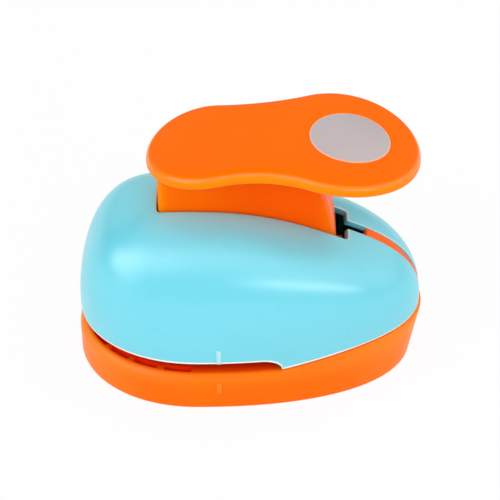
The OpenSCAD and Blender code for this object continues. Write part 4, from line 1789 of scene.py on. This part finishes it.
@dataclass
class LabelDisc:
    """Grey disc set into the palm pad, following its arch."""

    wardrobe: Wardrobe
    pad: PalmPad
    x: float = 31.3
    r: float = 12.8
    thick: float = 0.75
    proud: float = 0.15
    soft: float = 0.12
    segments: int = 128
    ring_steps: tuple[float, ...] = (0.6, 2.4, 3.0, 3.0)

    def build(self) -> None:
        """Builds the disc with a rounded edge and an even grid of rings."""
        mesh, soft = bmesh.new(), self.soft
        bmesh.ops.create_circle(mesh, cap_ends=True, segments=self.segments, radius=(self.r - soft) * MM)
        for step in self.ring_steps:
            middle = max(mesh.faces, key=lambda face: len(face.verts))
            bmesh.ops.inset_region(mesh, faces=[middle], thickness=step * MM)
        edge, low = ROUND_MIDDLE * soft, self.proud - self.thick
        for r, z in ((self.r - edge, -edge), (self.r, -soft), (self.r, low)):
            for vert in fresh_verts(bmesh.ops.extrude_edge_only(mesh, edges=open_edges(mesh))):
                flat = vert.co.xy.normalized() * r * MM
                vert.co = (*flat, z * MM)
        fill_holes(mesh)
        finish_mesh(mesh)
        for vert in mesh.verts:
            x = vert.co.x / MM + self.x
            vert.co.x = x * MM
            vert.co.z += (self.pad.top(x, self.pad.crown_w) + self.proud) * MM
        self.wardrobe.piece("label_disc_inlay", mesh, Body.LEVER, Slot.DISC, ["label_disc"])


@dataclass
class LockSlide:
    """Orange storage lock: a curved strip in the cover's channel on an inner shoe with a hook."""

    wardrobe: Wardrobe
    dome: Dome
    axis_x: float = 21.965
    axis_z: float = 15.8188
    strip_r: float = 36.205
    strip_low: float = 0.2
    strip_root: float = 0.3
    shoe_r: float = 33.105
    shoe_low_r: float = 31.505
    strip_half: float = 2.0
    shoe_half: float = 4.0
    low_deg: float = 14.04
    top_deg: float = 63.33
    shoe_in_deg: float = 2.5
    leg_deg: float = 50.0
    leg_root: float = 0.8
    leg_t: float = 3.0
    hook_r: float = 16.0
    hook_h: float = 2.2
    hook_reach: float = 2.0
    hook_root: float = 0.3
    round_r: float = 0.3
    sharp_deg: float = 60.0
    arc_steps: int = 40
    spine_steps: int = 400

    @property
    def axis(self) -> Vector:
        """Middle of the lock's arc in metres."""
        return Vector((self.axis_x, 0.0, self.axis_z)) * MM

    def _bar(self, mesh: BMesh, radii: Point2, half: float, in_deg: float, on_cover: bool) -> None:
        """Adds a curved bar with its long edges rounded.

        Args:
            mesh: the lock's shape.
            radii: the bar's inner and outer radius.
            half: half of its width.
            in_deg: how far its ends are set in.
            on_cover: True to lay its outer face under the cover's line.
        """
        part = bmesh.new()
        low, top = math.radians(self.low_deg + in_deg), math.radians(self.top_deg - in_deg)
        (r0, r1), ray = radii, Vector((math.cos(low), 0.0, math.sin(low)))
        corners = ((r0, -half), (r1, -half), (r1, half), (r0, half))
        spots = [self.axis + (ray * r + Vector((0.0, y, 0.0))) * MM for r, y in corners]
        face = part.faces.new([part.verts.new(spot) for spot in spots])
        bmesh.ops.spin(
            part, geom=[*face.verts, *face.edges, face], cent=self.axis, axis=(0, -1, 0), angle=top - low,
            steps=self.arc_steps)
        fill_holes(part)
        finish_mesh(part)
        if on_cover:
            self._follow_cover(part)
        limit = math.radians(self.sharp_deg)
        sharp = [e for e in part.edges if len(e.link_faces) == 2 and e.calc_face_angle() > limit]
        soften(part, sharp, self.round_r, 3)
        data = to_data("bar", part)
        mesh.from_mesh(data)
        bpy.data.meshes.remove(data)

    def _follow_cover(self, part: BMesh) -> None:
        """Lays the strip's outer face just under the cover's own line.

        Args:
            part: the strip's shape.
        """
        line = []
        for k in range(self.spine_steps):
            x, _, z = self.dome.point(0.0, math.pi / 2 * k / self.spine_steps)
            x, z = x - self.axis_x, z - self.axis_z
            line.append((math.atan2(z, x), math.hypot(x, z)))
        for vert in part.verts:
            x, z = vert.co.x / MM - self.axis_x, vert.co.z / MM - self.axis_z
            turn, reach = math.atan2(z, x), math.hypot(x, z)
            if reach > self.shoe_r:
                k = next(i for i in range(1, len(line)) if line[i][0] >= turn)
                (turn0, reach0), (turn1, reach1) = line[k - 1:k + 1]
                cover = mix(reach0, reach1, (turn - turn0) / (turn1 - turn0))
                stretch = min(cover - self.strip_low, self.strip_r) / reach - 1
                vert.co += Vector((x, 0.0, z)) * stretch * MM

    def build(self) -> None:
        """Builds the lock."""
        mesh = bmesh.new()
        self._bar(mesh, (self.shoe_r - self.strip_root, self.strip_r), self.strip_half, 0.0, True)
        self._bar(mesh, (self.shoe_low_r, self.shoe_r), self.shoe_half, self.shoe_in_deg, False)
        lean = Matrix.Translation(self.axis) @ Matrix.Rotation(-math.radians(self.leg_deg), 4, "Y")
        leg_l, width = self.shoe_low_r + self.leg_root - self.hook_r, 2 * self.strip_half
        hook_t = self.hook_reach + 2 * self.hook_root
        hook_z = (self.leg_t + self.hook_reach) / 2 - self.hook_root
        for size, spot in (
            ((leg_l, width, self.leg_t), (self.hook_r + leg_l / 2, 0.0, 0.0)),
            ((self.hook_h, width, hook_t), (self.hook_r + self.hook_h / 2, 0.0, hook_z)),
        ):
            bmesh.ops.transform(mesh, matrix=lean, verts=add_block(mesh, size, spot))
        self.wardrobe.piece("lock_slide_moulding", mesh, Body.LOCK, Slot.LOCK, ["lock_slide"])


@dataclass
class ReturnSpring:
    """Compression spring round a guide post, with closed end turns."""

    wardrobe: Wardrobe
    node: str
    wire_d: float = 0.8
    end_pitch: float = 1.05
    open_turns: int = 3
    stroke: float = 4.9
    ring_steps: int = 32
    wire_sides: int = 12
    sharp_deg: float = 60.0

    def build(self) -> None:
        """Winds the wire where the CAD spring stands."""
        low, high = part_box(self.node)
        middle, length, wire_r = (low + high) / 2, high.z - low.z, self.wire_d / 2 * MM
        reach = (high.x - low.x) / 2 - wire_r
        start = Matrix.Translation((middle.x + reach, middle.y, low.z + wire_r))
        start @= Matrix.Rotation(math.pi / 2, 4, "X")
        mesh = bmesh.new()
        bmesh.ops.create_circle(mesh, segments=self.wire_sides, radius=wire_r, matrix=start)
        end_rise = self.end_pitch * self.wire_d * MM
        open_rise = length - 2 * wire_r - 2 * end_rise
        tip = [*mesh.verts, *mesh.edges]
        for turns, rise in ((1, end_rise), (self.open_turns, open_rise), (1, end_rise)):
            steps = turns * self.ring_steps
            tip = bmesh.ops.spin(
                mesh, geom=tip, cent=middle, axis=(0, 0, 1), dvec=(0, 0, rise / steps),
                angle=2 * math.pi * turns, steps=steps)["geom_last"]
        fill_holes(mesh)
        finish_mesh(mesh)
        coil = self.wardrobe.piece(
            f"{self.node}_coil", mesh, Body.FIXED, Slot.SPRING, [self.node], self.sharp_deg)
        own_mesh(coil)


@dataclass
class ScrewSet:
    """Pan-head screws with a cross recess, all alike in one node."""

    wardrobe: Wardrobe
    node: str
    body: Body
    x: float
    rows: tuple[float, ...]
    head_up: bool
    shank_r: float = 1.5
    tip_in: float = 0.35
    tip_l: float = 0.4
    head_r: float = 2.75
    head_h: float = 2.2
    head_edge: Point2 = (0.1, 0.12)
    dome_low: float = 0.5
    dome_steps: int = 6
    recess_r: float = 1.5
    recess_w: float = 0.36
    recess_edge: Point2 = (0.2, 0.05)
    recess_depth: float = 1.2
    steps: int = 48
    sharp_deg: float = 30.0

    def build(self) -> None:
        """Builds the node's screws at their places."""
        low, high = (corner.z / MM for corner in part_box(self.node))
        flip = Matrix.Identity(4) if self.head_up else Matrix.Rotation(math.pi, 4, "X")
        seat = high - self.head_h if self.head_up else low + self.head_h
        mesh = bmesh.new()
        for y in self.rows:
            move = Matrix.Translation(Vector((self.x, y, seat)) * MM) @ flip
            bmesh.ops.transform(mesh, matrix=move, verts=self._screw(mesh, high - low - self.head_h))
        bmesh.ops.recalc_face_normals(mesh, faces=mesh.faces)
        self.wardrobe.piece(f"{self.node}_cross", mesh, self.body, Slot.SCREW, [self.node], self.sharp_deg)

    def _screw(self, mesh: BMesh, shank_l: float) -> list[BMVert]:
        """Adds one screw, head up, seated at the origin.

        Args:
            mesh: the shape to add to.
            shank_l: length of the shank.

        Returns:
            The screw's vertices.
        """
        head, top, flat = self.head_r, self.head_h, self.recess_r + self.recess_edge[0]
        profile = [(self.shank_r, -shank_l + self.tip_l), (self.shank_r, 0.0)]
        profile += [(head - self.head_edge[0], 0.0), (head, self.head_edge[1])]
        for a in quarter(self.dome_steps)[1:-1]:
            profile.append((mix(flat, head, math.cos(a)), mix(self.dome_low, top, math.sin(a))))
        recess = [(0.0, top - self.recess_edge[1]), (0.0, top - self.recess_depth)]
        tip = self.shank_r - self.tip_in
        made = list(bmesh.ops.create_circle(mesh, segments=self.steps, radius=tip * MM)["verts"])
        bmesh.ops.translate(mesh, vec=(0.0, 0.0, -shank_l * MM), verts=made)
        bottom = edges = list({edge for vert in made for edge in vert.link_edges})
        for r, z in profile + [(flat, top)] + recess:
            fresh = fresh_verts(bmesh.ops.extrude_edge_only(mesh, edges=edges))
            for vert in fresh:
                turn = math.atan2(vert.co.y, vert.co.x)
                reach = r or self._cross(turn)
                vert.co = Vector((reach * math.cos(turn), reach * math.sin(turn), z)) * MM
            inside = set(fresh)
            edges = list({e for vert in fresh for e in vert.link_edges if e.other_vert(vert) in inside})
            made += fresh
        for loop in (edges, bottom):
            bmesh.ops.contextual_create(mesh, geom=loop)
        return made

    def _cross(self, turn: float) -> float:
        """Reach of the cross recess in a direction."""
        short, long = sorted((abs(math.cos(turn)), abs(math.sin(turn))))
        return self.recess_w / short if short * self.recess_r > self.recess_w else self.recess_r / long


@dataclass(frozen=True)
class Softbox:
    """One lamp: its place, size and power."""

    name: str
    spot: Point3
    width: float
    height: float
    power: float
    shape: LampShape = LampShape.BOX

    def build(self, target: Point3) -> None:
        """Adds the lamp, turned to a target.

        Args:
            target: the place that it shines on.
        """
        lamp = bpy.data.lights.new(self.name, "AREA")
        lamp.shape, lamp.energy = self.shape.value, self.power
        lamp.size, lamp.size_y = self.width * MM, self.height * MM
        aim(add_object(self.name, lamp), self.spot, target)


@dataclass
class Studio:
    """Pale floor, soft lights and the camera at the photograph's angle."""

    eye: Point3 = (0.0, -454.84, 421.66)
    target: Point3 = (0.0, 0.0, 40.0)
    lens: float = 130.0
    sensor: float = 36.0
    floor_half: float = 3000.0
    floor_z: float = -0.05
    floor_grey: float = 0.9
    floor_glow: float = 0.93
    world_power: float = 0.45
    lights: tuple[Softbox, ...] = (
        Softbox("key softbox", (-650.0, -560.0, 530.0), 1000.0, 1150.0, 1.2, LampShape.OVAL),
        Softbox("key core", (-650.0, -570.0, 500.0), 480.0, 800.0, 1.05, LampShape.OVAL),
        Softbox("left softbox", (-880.0, -260.0, 440.0), 520.0, 480.0, 1.2, LampShape.OVAL),
        Softbox("strip softbox", (420.0, -700.0, 330.0), 700.0, 100.0, 1.3),
        Softbox("front softbox", (0.0, -700.0, 880.0), 2400.0, 700.0, 4.4),
        Softbox("high softbox", (60.0, -80.0, 980.0), 1800.0, 1200.0, 1.5),
        Softbox("rear softbox", (620.0, 200.0, 420.0), 1200.0, 700.0, 1.9),
        Softbox("back softbox", (-260.0, 820.0, 420.0), 1100.0, 600.0, 1.0),
    )

    def build(self) -> None:
        """Builds the stage, the lights, the world and the camera."""
        scene = bpy.context.scene
        scene.view_settings.view_transform = "Standard"
        self._floor()
        self._world()
        for softbox in self.lights:
            softbox.build(self.target)
        camera = add_object("camera", bpy.data.cameras.new("camera"))
        camera.data.lens, camera.data.sensor_width = self.lens, self.sensor
        aim(camera, self.eye, self.target)
        scene.camera = camera
        LOG.info("studio: %d lights", len(self.lights))

    def _floor(self) -> None:
        """Adds the floor: white to the eye, to a mirror and to glass, with the object's shadow kept."""
        mesh = bmesh.new()
        bmesh.ops.create_grid(mesh, x_segments=8, y_segments=8, size=self.floor_half * MM)
        data = to_data("floor", mesh)
        floor = add_object("floor", data)
        floor.location.z = self.floor_z * MM
        tree = Shader(bpy.data.materials.new("white floor"))
        path = tree.node("LightPath")
        rays = ("Camera", "Glossy", "Transmission")
        eye, mirror, glass = (tree.value(path, f"Is {ray} Ray") for ray in rays)
        share = (eye + mirror + glass).over(0.0, 1.0) * self.floor_glow
        paper = tree.node("BsdfDiffuse", values={"Color": (*[self.floor_grey] * 3, 1.0)})
        glow = tree.node("Emission", values={"Color": (1.0, 1.0, 1.0, 1.0), "Strength": 1.0})
        both = tree.node("MixShader", values={0: share, 1: paper.outputs[0], 2: glow.outputs[0]})
        tree.node("OutputMaterial", values={"Surface": both.outputs[0]})
        data.materials.append(tree.owner)

    def _world(self) -> None:
        """Sets a plain white world as soft light from all round."""
        world = bpy.data.worlds.new("studio")
        bpy.context.scene.world = world
        tree = Shader(world)
        glow = tree.node("Background", values={"Color": (1, 1, 1, 1), "Strength": self.world_power})
        tree.node("OutputWorld", values={"Surface": glow.outputs[0]})


SCREWS = (
    ("die_screws", Body.FIXED, -35.05, (-10.0, 10.0), False),
    ("cover_screws_rear", Body.FIXED, 41.3, (-11.0, 11.0), False),
    ("cover_screws_front", Body.FIXED, -39.5, (-16.0, 16.0), False),
    ("bracket_screws", Body.FIXED, -37.3, (-4.5, 4.5), True),
    ("frame_screws", Body.FIXED, 18.15, (-16.0, -6.0, 6.0, 16.0), True),
    ("yoke_screws", Body.PUNCH, -10.0, (-11.0, 11.0), True),
)

KEPT_NODES = {
    "pivot_pin": Slot.PIN, "pin_clips": Slot.SPRING, "fulcrum_bracket": Slot.PLATE,
    "die_plate": Slot.DIE, "throat_spacer": Slot.PLATE, "guide_block": Slot.CAST,
    "punch_cutter": Slot.DIE, "punch_yoke": Slot.YOKE, "thrust_button": Slot.PIN,
    "guide_posts": Slot.PIN, "post_clips": Slot.SPRING,
}


def main() -> None:
    """Builds the object's pieces in order and sets up the studio."""
    logging.basicConfig(level=logging.INFO, format="%(name)s: %(message)s")
    wardrobe = Wardrobe()
    plan, seam, pad = BodyPlan(), Seam(), PalmPad()
    dome = Dome(plan)
    BaseTray(wardrobe, plan, seam).build()
    UpperCover(wardrobe, plan, seam, dome).build()
    LeverHandle(wardrobe, pad).build()
    LabelDisc(wardrobe, pad).build()
    LockSlide(wardrobe, dome).build()
    for row in SCREWS:
        ScrewSet(wardrobe, *row).build()
    for side in ("left", "right"):
        ReturnSpring(wardrobe, f"return_spring_{side}").build()
    for node, slot in KEPT_NODES.items():
        wardrobe.dress(node, slot)
    Studio().build()


if __name__ == "__main__":
    main()
